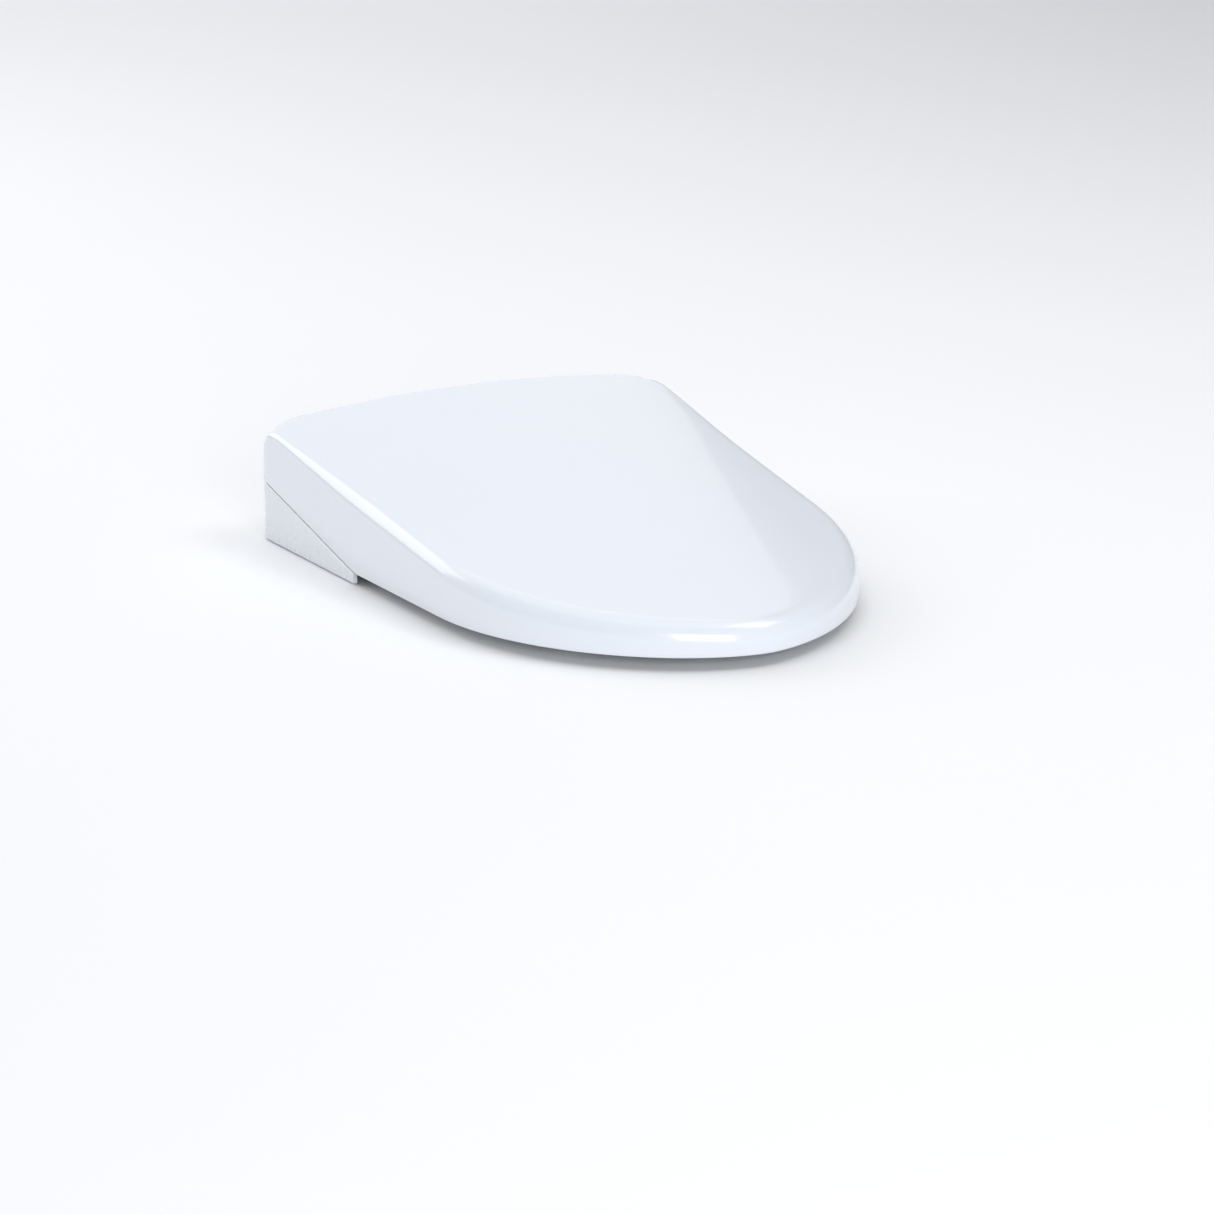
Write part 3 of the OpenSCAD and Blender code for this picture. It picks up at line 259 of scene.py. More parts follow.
@dataclass(frozen=True)
class Turned:
    """Metal that was drawn, turned or cast: fine brushing, stains and dull patches."""

    name: str
    colour: tuple[float, float, float]
    stain: tuple[float, float, float]
    rough: float
    brushing: float = 900.0

    def build(self) -> Mat:
        """The finish as a material."""
        sh = Shader(self.name)
        along = {"Vector": sh.place, "Scale": (0.03, 1.0, 1.0)}
        stretched = sh.node("ShaderNodeMapping", {}, along)["Vector"]
        brushed = {"Vector": stretched, "Scale": self.brushing, "Detail": 2.0}
        lines = sh.node("ShaderNodeTexNoise", {}, brushed)["Fac"]
        patch = sh.noise(60.0, 5.0, 0.6)
        spots = (sh.noise(260.0, 3.0, 0.7) - 0.55).above(0.08)
        colour = sh.mix(patch * 0.5 + spots * 0.25, self.colour, self.stain)
        rough = lines * 0.16 + patch * 0.14 + (self.rough - 0.12)
        return sh.close({
            "Base Color": colour, "Roughness": rough, "Metallic": 1.0,
            "Normal": sh.bump(lines, 0.25, 0.00004),
        })


@dataclass(frozen=True)
class Laminate:
    """Circuit board: glass weave under lacquer with copper traces."""

    name: str = "board_lacquer"
    lacquer: tuple[float, float, float] = (0.016, 0.12, 0.055)
    trace: tuple[float, float, float] = (0.05, 0.25, 0.11)

    def build(self) -> Mat:
        """The finish as a material."""
        sh = Shader(self.name)
        settings = {"feature": "F1", "distance": "CHEBYCHEV"}
        sockets = {"Vector": sh.place, "Scale": 150.0, "Randomness": 0.6}
        cell = sh.node("ShaderNodeTexVoronoi", settings, sockets)
        traces = cell["Distance"].above(0.42)
        weave = sh.noise(1500.0, 2.0, 0.5)
        colour = sh.mix(traces * 0.7 + weave * 0.2, self.lacquer, self.trace)
        return sh.close({
            "Base Color": colour, "Roughness": weave * 0.2 + 0.22, "Coat Weight": 0.4,
            "Normal": sh.bump(traces * 0.6 + weave * 0.3, 0.4, 0.00006),
        })


@dataclass(frozen=True)
class Tinted:
    """Smoked or clear window plastic with a dark body and a bright skin."""

    name: str
    colour: tuple[float, float, float]
    glow: tuple[float, float, float]
    glow_strength: float = 0.0

    def build(self) -> Mat:
        """The finish as a material."""
        sh = Shader(self.name)
        haze = sh.noise(180.0, 4.0, 0.6)
        colour = sh.mix(haze, self.colour, tuple(min(1.0, c * 1.35) for c in self.colour))
        return sh.close({
            "Base Color": colour, "Roughness": haze * 0.1 + 0.05, "Coat Weight": 1.0,
            "Emission Color": (*self.glow, 1.0), "Emission Strength": self.glow_strength,
            "Normal": sh.bump(haze, 0.1, 0.00003),
        })


class Slot(Enum):
    """The finishes, by the record's slot."""

    LID = "lid_gloss"
    SEAT = "seat_gloss"
    CASE = "case_gloss"
    CASE_MATTE = "case_matte"
    GREY = "grey_plastic"
    DARK = "dark_plastic"
    BUTTON = "button_grey"
    PAD = "pad_rubber"
    BUMPER = "bumper_rubber"
    STEEL = "steel"
    ZINC = "zinc"
    BRASS = "brass"
    COPPER = "copper_alloy"
    BOARD = "board_green"
    GEAR = "gear_plastic"
    SMOKED = "smoked"
    LENS = "lens"


FINISHES = {
    Slot.LID: Moulded("lid_gloss", (0.80, 0.835, 0.885), (0.775, 0.81, 0.865), 0.20, 0.10, 1500.0, 0.000008,
                      coat=0.55, wave_depth=0.0008),
    Slot.SEAT: Moulded("seat_gloss", (0.79, 0.82, 0.86), (0.765, 0.80, 0.845), 0.22, 0.10, 1500.0, 0.000012,
                       coat=0.5, wave_depth=0.0006),
    Slot.CASE: Moulded("case_gloss", (0.775, 0.80, 0.835), (0.75, 0.78, 0.82), 0.27, 0.10, 1500.0, 0.000008,
                       coat=0.35, wave_depth=0.0004),
    Slot.CASE_MATTE: Moulded("case_matte", (0.66, 0.69, 0.71), (0.61, 0.64, 0.665), 0.48, 0.16, 2300.0,
                             0.00006),
    Slot.GREY: Moulded("grey_plastic", (0.42, 0.45, 0.47), (0.36, 0.39, 0.41), 0.45, 0.15, 2100.0, 0.00006),
    Slot.DARK: Moulded("dark_plastic", (0.040, 0.046, 0.050), (0.060, 0.066, 0.070), 0.46, 0.18, 1900.0,
                       0.00007),
    Slot.BUTTON: Moulded("button_grey", (0.44, 0.47, 0.50), (0.39, 0.42, 0.45), 0.40, 0.14, 2600.0,
                         0.00004),
    Slot.PAD: Moulded("pad_rubber", (0.055, 0.062, 0.066), (0.085, 0.092, 0.096), 0.66, 0.18, 1300.0,
                      0.0001, sheen=0.3),
    Slot.BUMPER: Moulded("bumper_rubber", (0.52, 0.55, 0.58), (0.46, 0.49, 0.52), 0.62, 0.16, 1400.0,
                         0.00009, sheen=0.25),
    Slot.STEEL: Turned("steel", (0.62, 0.64, 0.66), (0.44, 0.45, 0.46), 0.30),
    Slot.ZINC: Turned("zinc", (0.50, 0.53, 0.56), (0.36, 0.39, 0.42), 0.42, 500.0),
    Slot.BRASS: Turned("brass", (0.72, 0.52, 0.26), (0.48, 0.33, 0.17), 0.32),
    Slot.COPPER: Turned("copper_alloy", (0.66, 0.36, 0.20), (0.38, 0.20, 0.12), 0.40),
    Slot.BOARD: Laminate(),
    Slot.GEAR: Moulded("gear_plastic", (0.74, 0.70, 0.58), (0.69, 0.65, 0.53), 0.38, 0.12, 1700.0, 0.00005),
    Slot.SMOKED: Tinted("smoked", (0.012, 0.013, 0.020), (0.0, 0.0, 0.0)),
    Slot.LENS: Tinted("lens", (0.55, 0.62, 0.68), (0.35, 0.75, 1.0), 0.15),
}


class Paintbox:
    """Makes each finish once."""

    def __init__(self) -> None:
        """Starts empty."""
        self.made: dict[Slot, Mat] = {}

    def get(self, slot: Slot) -> Mat:
        """The material of a slot."""
        if slot not in self.made:
            self.made[slot] = FINISHES[slot].build()
        return self.made[slot]


PAINT = Paintbox()


# ---------------------------------------------------------------- mesh helpers
def solid(name: str, points: Iterable[Point], faces: Iterable[Sequence[int]], sharp: float = 35.0) -> Obj:
    """A mesh object from points in millimetres.

    Args:
        name: the object's name.
        points: its points.
        faces: its faces, outward.
        sharp: edges steeper than this many degrees stay sharp.

    Returns:
        The object, at the origin.
    """
    mesh = bpy.data.meshes.new(name)
    mesh.from_pydata([Vector(p) * MM for p in points], [], [list(f) for f in faces])
    obj = bpy.data.objects.new(name, mesh)
    bpy.context.scene.collection.objects.link(obj)
    return smooth(obj, sharp)


def smooth(obj: Obj, sharp: float) -> Obj:
    """Shades an object smooth apart from its sharp edges.

    Args:
        obj: the object.
        sharp: the angle in degrees above which an edge is sharp.

    Returns:
        The same object.
    """
    obj.data.validate()
    obj.data.shade_smooth()
    obj.data.set_sharp_from_angle(angle=math.radians(sharp))
    return obj


def bake(obj: Obj, sharp: float = 35.0) -> Obj:
    """Turns an object's modifiers into its mesh.

    Args:
        obj: the object.
        sharp: the sharp-edge angle afterwards.

    Returns:
        The same object, with no modifiers.
    """
    graph = bpy.context.evaluated_depsgraph_get()
    mesh = bpy.data.meshes.new_from_object(obj.evaluated_get(graph))
    old = obj.data
    obj.modifiers.clear()
    obj.data = mesh
    bpy.data.meshes.remove(old)
    return smooth(obj, sharp)


def bevel(obj: Obj, width: float, steps: int = 3, angle: float = 50.0) -> Obj:
    """Rounds an object's edges.

    Args:
        obj: the object.
        width: the rounding in millimetres.
        steps: facets across the rounding.
        angle: edges steeper than this are rounded.

    Returns:
        The same object.
    """
    mod = obj.modifiers.new("round", "BEVEL")
    mod.width = width * MM
    mod.segments = steps
    mod.limit_method = "ANGLE"
    mod.angle_limit = math.radians(angle)
    return bake(obj)


def cut(obj: Obj, cutters: Sequence[Obj]) -> Obj:
    """Cuts holes.

    Args:
        obj: the object.
        cutters: closed shapes to take away; they are removed afterwards.

    Returns:
        The same object.
    """
    for cutter in cutters:
        mod = obj.modifiers.new("cut", "BOOLEAN")
        mod.operation = "DIFFERENCE"
        mod.solver = "EXACT"
        mod.object = cutter
        bake(obj)
        bpy.data.objects.remove(cutter)
    return obj


def dress(obj: Obj, slot: Slot, body: str, replaces: Sequence[str] = ()) -> Obj:
    """Gives a piece its finish and its place in the frame.

    Args:
        obj: the piece.
        slot: its finish.
        body: the body it rides on.
        replaces: the CAD nodes it stands for.

    Returns:
        The same piece.
    """
    obj.data.materials.clear()
    obj.data.materials.append(PAINT.get(slot))
    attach(obj, body)
    if replaces:
        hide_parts(*replaces)
    log.info("%s: %d faces on %s", obj.name, len(obj.data.polygons), body)
    return obj


def disc(name: str, centre: Point, profile: Sequence[Flat], sides: int = 64) -> Obj:
    """A shape turned about an axis along x.

    Args:
        name: the object's name.
        centre: the start of its axis, in millimetres.
        profile: (distance along the axis, radius) from one closed end to the other.
        sides: facets round.

    Returns:
        The object.
    """
    points, faces = [], []
    for at, radius in profile:
        for i in range(sides):
            a = math.tau * i / sides
            u, v = radius * math.cos(a), radius * math.sin(a)
            points.append((centre[0] + at, centre[1] + u, centre[2] + v))
    rows = len(profile)
    for r in range(rows - 1):
        for i in range(sides):
            j = (i + 1) % sides
            faces.append((r * sides + i, r * sides + j, (r + 1) * sides + j, (r + 1) * sides + i))
    faces.append(tuple(reversed(range(sides))))
    faces.append(tuple(range((rows - 1) * sides, rows * sides)))
    return solid(name, points, faces)


def block(name: str, low: Point, high: Point) -> Obj:
    """A plain box, used as a cutter.

    Args:
        name: the object's name.
        low: its low corner.
        high: its high corner.

    Returns:
        The object.
    """
    points = [(x, y, z) for z in (low[2], high[2]) for x, y in
              ((low[0], low[1]), (high[0], low[1]), (high[0], high[1]), (low[0], high[1]))]
    return solid(name, points, BOX_FACES)


# ---------------------------------------------------------------- repeated parts
class Repeater:
    """A Geometry Nodes tree that puts one shape on every point of a mesh."""

    def __init__(self, name: str) -> None:
        """Starts the tree.

        Args:
            name: the tree's name.
        """
        self.tree = bpy.data.node_groups.new(name, "GeometryNodeTree")
        self.sizes: dict[str, float] = {}
        self.face = self.tree.interface
        self.face.new_socket("Geometry", in_out="OUTPUT", socket_type="NodeSocketGeometry")
        self.face.new_socket("Points", in_out="INPUT", socket_type="NodeSocketGeometry")
        self.inlet: Optional[Node] = None

    def size(self, name: str, value: float) -> None:
        """Adds a named size, in metres."""
        self.sizes[name] = value
        self.face.new_socket(name, in_out="INPUT", socket_type="NodeSocketFloat").default_value = value

    def node(self, kind: str, settings: Optional[dict] = None, sockets: Optional[dict] = None) -> Node:
        """Adds a node.

        Args:
            kind: the node's type.
            settings: its settings, set first.
            sockets: values or sockets for its inputs.

        Returns:
            The node.
        """
        made = self.tree.nodes.new(kind)
        for key, value in (settings or {}).items():
            setattr(made, key, value)
        for key, value in (sockets or {}).items():
            if isinstance(value, Socket):
                self.tree.links.new(value, made.inputs[key])
            else:
                made.inputs[key].default_value = value
        return made

    def named(self, name: str) -> Socket:
        """The socket of an input."""
        if self.inlet is None:
            self.inlet = self.node("NodeGroupInput")
        return self.inlet.outputs[name]

    def box_of(self, x: Socket, y: Socket, z: Socket) -> Node:
        """A cube with the given sizes."""
        size = self.node("ShaderNodeCombineXYZ", None, {0: x, 1: y, 2: z})
        return self.node("GeometryNodeMeshCube", None, {"Size": size.outputs[0]})

    def close(self, shape: Socket, material: Mat) -> None:
        """Places the shape on the points, realises it and sets its material.

        Args:
            shape: the shape's geometry socket.
            material: its finish.
        """
        sockets = {"Points": self.named("Points"), "Instance": shape}
        put = self.node("GeometryNodeInstanceOnPoints", None, sockets)
        real = self.node("GeometryNodeRealizeInstances", None, {"Geometry": put.outputs[0]})
        sockets = {"Geometry": real.outputs[0], "Material": material}
        paint = self.node("GeometryNodeSetMaterial", None, sockets)
        self.node("NodeGroupOutput", None, {"Geometry": paint.outputs[0]})

    def run(self, name: str, points: Sequence[Point]) -> Obj:
        """Runs the tree over points.

        Args:
            name: the piece's name.
            points: where the shape goes, in millimetres.

        Returns:
            The piece as a plain mesh.
        """
        made = solid(name, points, [])
        mod = made.modifiers.new("repeat", "NODES")
        mod.node_group = self.tree
        for item in self.face.items_tree:
            if item.item_type == "SOCKET" and item.in_out == "INPUT" and item.name in self.sizes:
                mod[item.identifier] = self.sizes[item.name]
        return bake(made, 30.0)


def cross_screws(name: str, radius: float, height: float, material: Mat) -> Repeater:
    """A tree of low cross-recess screw heads.

    Args:
        name: the tree's name.
        radius: head radius in millimetres.
        height: head height in millimetres.
        material: its finish.

    Returns:
        The tree.
    """
    rep = Repeater(name)
    rep.size("Head Radius", radius * MM)
    rep.size("Head Height", height * MM)
    rep.size("Slot Length", radius * 1.2 * MM)
    rep.size("Slot Width", radius * 0.28 * MM)
    head = rep.node("GeometryNodeMeshCylinder", {"fill_type": "NGON"},
                    {"Vertices": 28, "Radius": rep.named("Head Radius"), "Depth": rep.named("Head Height")})
    one = rep.box_of(rep.named("Slot Length"), rep.named("Slot Width"), rep.named("Head Height"))
    two = rep.box_of(rep.named("Slot Width"), rep.named("Slot Length"), rep.named("Head Height"))
    lower = rep.node("ShaderNodeMath", {"operation": "MULTIPLY"}, {0: rep.named("Head Height"), 1: -0.45})
    drop = rep.node("ShaderNodeCombineXYZ", None, {2: lower.outputs[0]})
    less = rep.node("GeometryNodeMeshBoolean", {"operation": "DIFFERENCE", "solver": "EXACT"})
    rep.tree.links.new(head.outputs["Mesh"], less.inputs["Mesh 1"])
    for arm in (one, two):
        sockets = {"Geometry": arm.outputs[0], "Translation": drop.outputs[0]}
        low = rep.node("GeometryNodeTransform", None, sockets)
        rep.tree.links.new(low.outputs[0], less.inputs["Mesh 2"])
    rep.close(less.outputs["Mesh"], material)
    return rep


def bars(name: str, size: Point, material: Mat) -> Repeater:
    """A tree of straight bars.

    Args:
        name: the tree's name.
        size: one bar's sizes in millimetres.
        material: its finish.

    Returns:
        The tree.
    """
    rep = Repeater(name)
    for label, value in zip(("Bar X", "Bar Y", "Bar Z"), size):
        rep.size(label, value * MM)
    cube = rep.box_of(rep.named("Bar X"), rep.named("Bar Y"), rep.named("Bar Z"))
    rep.close(cube.outputs[0], material)
    return rep


# ---------------------------------------------------------------- shapes shared by lid, seat and covers
@dataclass(frozen=True)
class Form:
    """The sizes that the lid, the seat ring and the side covers share, in millimetres."""

    half: float = 193.0
    rear: float = 65.0
    front: float = -465.0
    rear_h: float = 115.9
    front_h: float = 34.0
    crown: float = 12.5
    edge_z: float = 10.0
    nose: float = 208.0
    nose_pow: float = 2.0
    tip_pow: float = 1.7
    flare: float = 22.0
    bow: float = 2.0
    corner: float = 22.0
    fillet: float = 15.0
    rear_round: float = 20.0
    fillet_pow: float = 2.2
    tip: float = -117.0
    hinge_y: float = 42.0
    hinge_z: float = 88.0
    over_seam: float = 31.0
    gap: float = 1.2
    cut_x: float = 167.5
    rear_fillet: float = 4.0
    soft_run: float = 200.0
    corner_run: Flat = (47.0, 12.0)

    @property
    def depth(self) -> float:
        """Front edge to back."""
        return self.rear - self.front

    @property
    def mid(self) -> float:
        """Middle of the depth."""
        return (self.rear + self.front) / 2

    @property
    def corner_y(self) -> float:
        """Where the seam ends at the rear."""
        return self.rear - self.bow

    @property
    def slope(self) -> float:
        """The seam's rise over its run."""
        return (self.hinge_z - self.over_seam - self.edge_z) / (self.corner_y - self.tip)

    @property
    def angle(self) -> float:
        """The seam's angle in radians."""
        return math.atan(self.slope)

    @property
    def sweep(self) -> float:
        """Distance of the seam from the hinge axis."""
        return self.over_seam * math.cos(self.angle) + (self.corner_y - self.hinge_y) * math.sin(self.angle)

    @property
    def foot(self) -> float:
        """Where the seam is nearest the hinge axis."""
        return self.hinge_y + self.sweep * math.sin(self.angle)

    def line_z(self, y: float) -> float:
        """Height of the straight part of the seam."""
        return self.edge_z + self.slope * (y - self.tip)

    def arc_z(self, y: float, radius: float) -> float:
        """Height of the round part below the hinge."""
        return self.hinge_z - math.sqrt(max(0.0, radius ** 2 - min(y - self.hinge_y, radius * 0.95) ** 2))

    def seam_z(self, y: float) -> float:
        """Height of the lid's edge at y."""
        if y <= self.tip:
            return self.edge_z
        return self.line_z(y) if y <= self.foot else self.arc_z(y, self.sweep)

    def wing_z(self, y: float, drop: float = 0.0) -> float:
        """Height of the casing under the seam at y."""
        radius = self.sweep + self.gap + drop
        if y <= self.hinge_y + radius * math.sin(self.angle):
            return self.line_z(y) - (self.gap + drop) / math.cos(self.angle)
        return self.arc_z(y, radius)

    def top_z(self, x: float, y: float) -> float:
        """Height of the lid's top."""
        rise = (self.rear_h - self.front_h) / self.depth
        return self.rear_h - rise * (self.rear - y) - self.crown * (x / self.half) ** 2

    def half_side(self, inset: float, y_end: float, steps: int, tail: int) -> list[Flat]:
        """One side of an outline, nose to rear."""
        tip, start = self.front + inset, self.front + self.nose
        out = []
        for i in range(steps + tail + 1):
            a = math.pi / 2 * min(i, steps) / steps
            left = max(0.0, (steps + tail - i) / tail)
            y = start - (start - tip) * math.cos(a) if i <= steps else y_end - (y_end - start) * left ** 1.6
            k = max(0.0, 1 - math.cos(a) ** self.nose_pow) ** (1 / self.tip_pow) if i <= steps else 1.0
            out.append(((self.half - inset - self.flare * (self.rear - y) / self.depth) * k, y))
        return out

    def outline(self, inset: float, y_back: float, corner: float, bow: float, fine: int = 4) -> list[Flat]:
        """A closed outline, anticlockwise from above, from the nose tip.

        Args:
            inset: how far inside the lid's outline.
            y_back: where its back edge is.
            corner: corner radius before the inset.
            bow: bow of its back edge.
            fine: multiplies the number of points.

        Returns:
            The points.
        """
        r = max(corner - inset, 2.0)
        half = self.half_side(inset, y_back - bow - r - 1, SIDE_STEPS * fine, TAIL_STEPS * fine)
        w = self.half - inset - self.flare * (self.rear - y_back + bow + r) / self.depth
        turn = TURN_STEPS * fine
        for i in range(turn + 1):
            a = math.pi / 2 * i / turn
            half.append((w - r + r * math.cos(a), y_back - bow * (1 - r / w) ** 2 - r + r * math.sin(a)))
        edge = self.cut_x
        half += [(x, y_back - bow * (x / w) ** 2) for x in (edge + 1, edge - 1)]
        inner = ((edge - 1) * (1 - i / turn) for i in range(1, turn + 1))
        half += [(x, y_back - bow * (x / w) ** 2) for x in inner]
        return half + [(-x, y) for x, y in half[-2:0:-1]]


FORM = Form()


def band(rings: Sequence[Sequence[Point]]) -> tuple[list[Point], list[tuple]]:
    """Quads between closed rings of equal length.

    Args:
        rings: the rings, in order.

    Returns:
        Points and faces.
    """
    n = len(rings[0])
    points = [p for ring in rings for p in ring]
    faces = []
    for k in range(len(rings) - 1):
        for i in range(n):
            a, b = k * n + i, k * n + (i + 1) % n
            faces.append((a, b, b + n, a + n))
    return points, faces


@dataclass
class Lid:
    """The one-piece lid: a soft-edged shell with a deep skirt, and the ribs under it."""

    form: Form = FORM
    wall: float = 3.0
    cut_z: float = 101.0
    lip: float = 1.0
    rings: int = 18
    caps: int = 14

    def rear_share(self, y: float) -> float:
        """Share of the rear rounding at y: 0 on the sides, 1 from the middle of the corner on."""
        f = self.form
        begin, end = f.corner_y - f.corner_run[0], f.corner_y - f.corner_run[1]
        t = min(1.0, max(0.0, (y - begin) / (end - begin)))
        return 1 - math.sqrt(1 - t * t)

    def side_fillet(self, y: float) -> float:
        """Size of the side rounding at y: crisp at the rear, full further forward."""
        f = self.form
        t = min(1.0, max(0.0, 1 - (f.corner_y - y) / f.soft_run))
        return f.fillet - (f.fillet - f.rear_fillet) * t * t * (3 - 2 * t)

    def bottom(self, p: Flat) -> float:
        """Height of the shell's lower edge."""
        f = self.form
        return self.cut_z if p[1] > f.hinge_y and abs(p[0]) < f.cut_x else f.seam_z(p[1])

    def tall(self, z_top: float, y: float, wall: float) -> float:
        """Height of the rounding at y."""
        f, share = self.form, self.rear_share(y)
        return (self.side_fillet(y) - wall) * (1 - share) + (z_top - f.seam_z(f.corner_y)) * share

    def point(self, p: Flat, wall: float, turn: float) -> Point:
        """A point of a skin.

        Args:
            p: the outline point.
            wall: depth below the outside.
            turn: angle up the rounding, in radians.

        Returns:
            The point.
        """
        f = self.form
        share = self.rear_share(p[1])
        c = 1 - max(0.0, math.cos(turn)) ** (2 / f.fillet_pow)
        s = 1 - math.sin(turn) ** (2 / f.fillet_pow)
        deep = f.rear_round if p[1] > f.mid else f.fillet
        side = self.side_fillet(p[1]) * (1 - share) + f.fillet * share
        kx = 1 - (wall + (side - wall) * c) / f.half
        ky = 1 - (wall + (deep - wall) * c) / (f.depth / 2)
        x, y = p[0] * kx, f.mid + (p[1] - f.mid) * ky
        z_top = f.top_z(x, y) - wall
        return x, y, z_top - self.tall(z_top, p[1], wall) * s

    def start(self, p: Flat, wall: float) -> float:
        """The angle at which the rounding starts, or -1 where a plain skirt is below it."""
        f = self.form
        z_top = f.top_z(*p) - wall
        s = (z_top - self.bottom(p)) / self.tall(z_top, p[1], wall)
        return -1.0 if s >= 1 else math.asin(max(0.0, 1 - s) ** (f.fillet_pow / 2))

    def skin(self, pts: Sequence[Flat], wall: float, lip: float) -> list[list[Point]]:
        """Rings of one skin from the lower edge to the middle of the top.

        Args:
            pts: the outline.
            wall: depth below the outside.
            lip: height of the lowest ring above the lower edge.

        Returns:
            The rings.
        """
        rows: list[list[Point]] = []
        skirt = 4
        for k in range(skirt + 1 + self.rings):
            row = []
            for p in pts:
                f0 = self.start(p, wall)
                base = self.point(p, wall, max(0.0, f0))
                low = self.bottom(p) + lip
                if k == 0:
                    row.append((base[0], base[1], low))
                elif f0 < 0:
                    if k <= skirt:
                        row.append((base[0], base[1], low + (base[2] - low) * k / skirt))
                    else:
                        row.append(self.point(p, wall, math.pi / 2 * (k - skirt) / self.rings))
                else:
                    turn = f0 + (math.pi / 2 - f0) * k / (skirt + self.rings)
                    q = self.point(p, wall, turn)
                    row.append((q[0], q[1], max(q[2], low + 0.02 * k)))
            rows.append(row)
        rim = rows[-1]
        for k in range(1, self.caps):
            t = 1 - k / self.caps
            row = []
            for x, y, _ in rim:
                cx, cy = x * t, self.form.mid + (y - self.form.mid) * t
                row.append((cx, cy, self.form.top_z(cx, cy) - wall))
            rows.append(row)
        return rows

    def shell(self) -> Obj:
        """The closed shell with a rounded lower lip."""
        f = self.form
        pts = f.outline(0, f.rear, f.corner, f.bow)
        n = len(pts)
        outer, inner = self.skin(pts, 0.0, self.lip), self.skin(pts, self.wall, self.lip)
        edge = []
        for wall, up in ((0.35, 0.3), (1.0, 0.0), (2.0, 0.0), (2.65, 0.3)):
            row = []
            for p in pts:
                q = self.point(p, wall, max(0.0, self.start(p, wall)))
                row.append((q[0], q[1], self.bottom(p) + up))
            edge.append(row)
        rows = list(reversed(inner)) + list(reversed(edge)) + outer
        points, faces = band(rows)
        for row, flip in ((0, True), (len(rows) - 1, False)):
            wall = self.wall if flip else 0.0
            points.append((0.0, f.mid, f.top_z(0, f.mid) - wall))
            hub = len(points) - 1
            for i in range(n):
                a, b = row * n + i, row * n + (i + 1) % n
                faces.append((b, a, hub) if flip else (a, b, hub))
        return dress(solid("lid", points, faces, 50.0), Slot.LID, "lid", ["lid_shell"])

    def ribs(self) -> Obj:
        """Stiffening ribs across the underside of the lid."""
        rep = bars("lid_ribs", (240.0, 1.6, 5.0), PAINT.get(Slot.LID))
        spots = [(0.0, y, self.form.top_z(120.0, y) - self.wall - 1.6) for y in (-60.0, -30.0, 0.0)]
        return dress(rep.run("lid_ribs", spots), Slot.LID, "lid")

    def build(self) -> None:
        """Makes every piece of the lid."""
        self.shell()
        self.ribs()


@dataclass
class SeatRing:
    """The heated ring: its soft-edged top shell and the screws under it."""

    form: Form = FORM
    inset: float = 8.0
    back: float = -79.0
    corner: float = 12.0
    front_h: float = 28.0
    back_h: float = 46.0
    hole_w: float = 212.0
    hole_len: float = 286.0
    band_w: float = 50.0
    hole_pow: float = 2.2
    lift: float = 3.0

    @property
    def hole_y(self) -> float:
        """Middle of the hole."""
        return self.form.front + self.inset + self.band_w + self.hole_len / 2

    def top(self, y: float) -> float:
        """Height of the ring's top at y."""
        rise = self.form.tip - 90
        t = max(0.0, (y - rise) / (self.back - rise))
        return self.front_h + (self.back_h - self.front_h) * t ** 2

    def under(self, y: float) -> float:
        """Height of the ring's base at y."""
        low = self.form.edge_z
        return low + max(0.0, self.form.line_z(y) + self.lift - low)

    def section(self, p: Flat, share: float, height: float, from_top: bool) -> Point:
        """A point of the ring's section on the ray from the hole's middle to p."""
        dx, dy = p[0], p[1] - self.hole_y
        reach_x, reach_y = abs(dx) / (self.hole_w / 2), abs(dy) / (self.hole_len / 2)
        k = (reach_x ** self.hole_pow + reach_y ** self.hole_pow) ** (-1 / self.hole_pow)
        hx, hy = dx * k, self.hole_y + dy * k
        x, y = hx + (p[0] - hx) * share, hy + (p[1] - hy) * share
        return x, y, self.top(y) - height if from_top else self.under(y) + height

    def shell(self) -> Obj:
        """The soft-edged top shell with its turned-in lower edge."""
        f = self.form
        pts = f.outline(self.inset, self.back, self.corner + self.inset, 0.0, 2)
        top, low = True, False
        rows = [(0.0, 2.0, low), (0.0, 3.0, low), (0.0, 9.0, top), (0.018, 6.6, top), (0.05, 4.7, top),
                (0.10, 3.2, top), (0.17, 2.1, top), (0.26, 1.2, top), (0.38, 0.5, top), (0.50, 0.12, top),
                (0.60, 0.0, top), (0.70, 0.2, top), (0.79, 0.75, top), (0.86, 1.6, top), (0.92, 2.9, top),
                (0.96, 4.6, top), (0.985, 6.7, top), (1.0, 11.0, top), (1.0, 3.0, low), (1.0, 2.0, low),
                (0.95, 2.0, low), (0.95, 11.0, top), (0.8, 3.9, top), (0.6, 3.0, top), (0.36, 3.6, top),
                (0.16, 5.4, top), (0.06, 9.0, top), (0.05, 2.0, low)]
        rings = [[self.section(p, s, h, t) for p in pts] for s, h, t in rows]
        rings.append(rings[0])
        points, faces = band(rings)
        n = len(pts)
        last = len(rings) - 1
        faces = [tuple(i - last * n if i >= last * n else i for i in face) for face in faces]
        made = solid("seat_shell", points[: last * n], [tuple(reversed(face)) for face in faces], 50.0)
        clean(made)
        return dress(made, Slot.SEAT, "seat", ["seat_top"])

    def screws(self) -> Obj:
        """Screws round the underside of the ring."""
        rep = cross_screws("ring_screws", 3.2, 1.2, PAINT.get(Slot.STEEL))
        spots = []
        for i in range(10):
            a = math.tau * (i + 0.5) / 10
            x = math.cos(a) * (self.hole_w / 2 + 26)
            y = self.hole_y + math.sin(a) * (self.hole_len / 2 + 24)
            if y < self.back - 20:
                spots.append((x, y, self.under(y) - 0.4))
        made = rep.run("seat_screws", spots)
        return dress(made, Slot.STEEL, "seat")

    def build(self) -> None:
        """Makes every piece of the ring."""
        self.shell()
        self.screws()


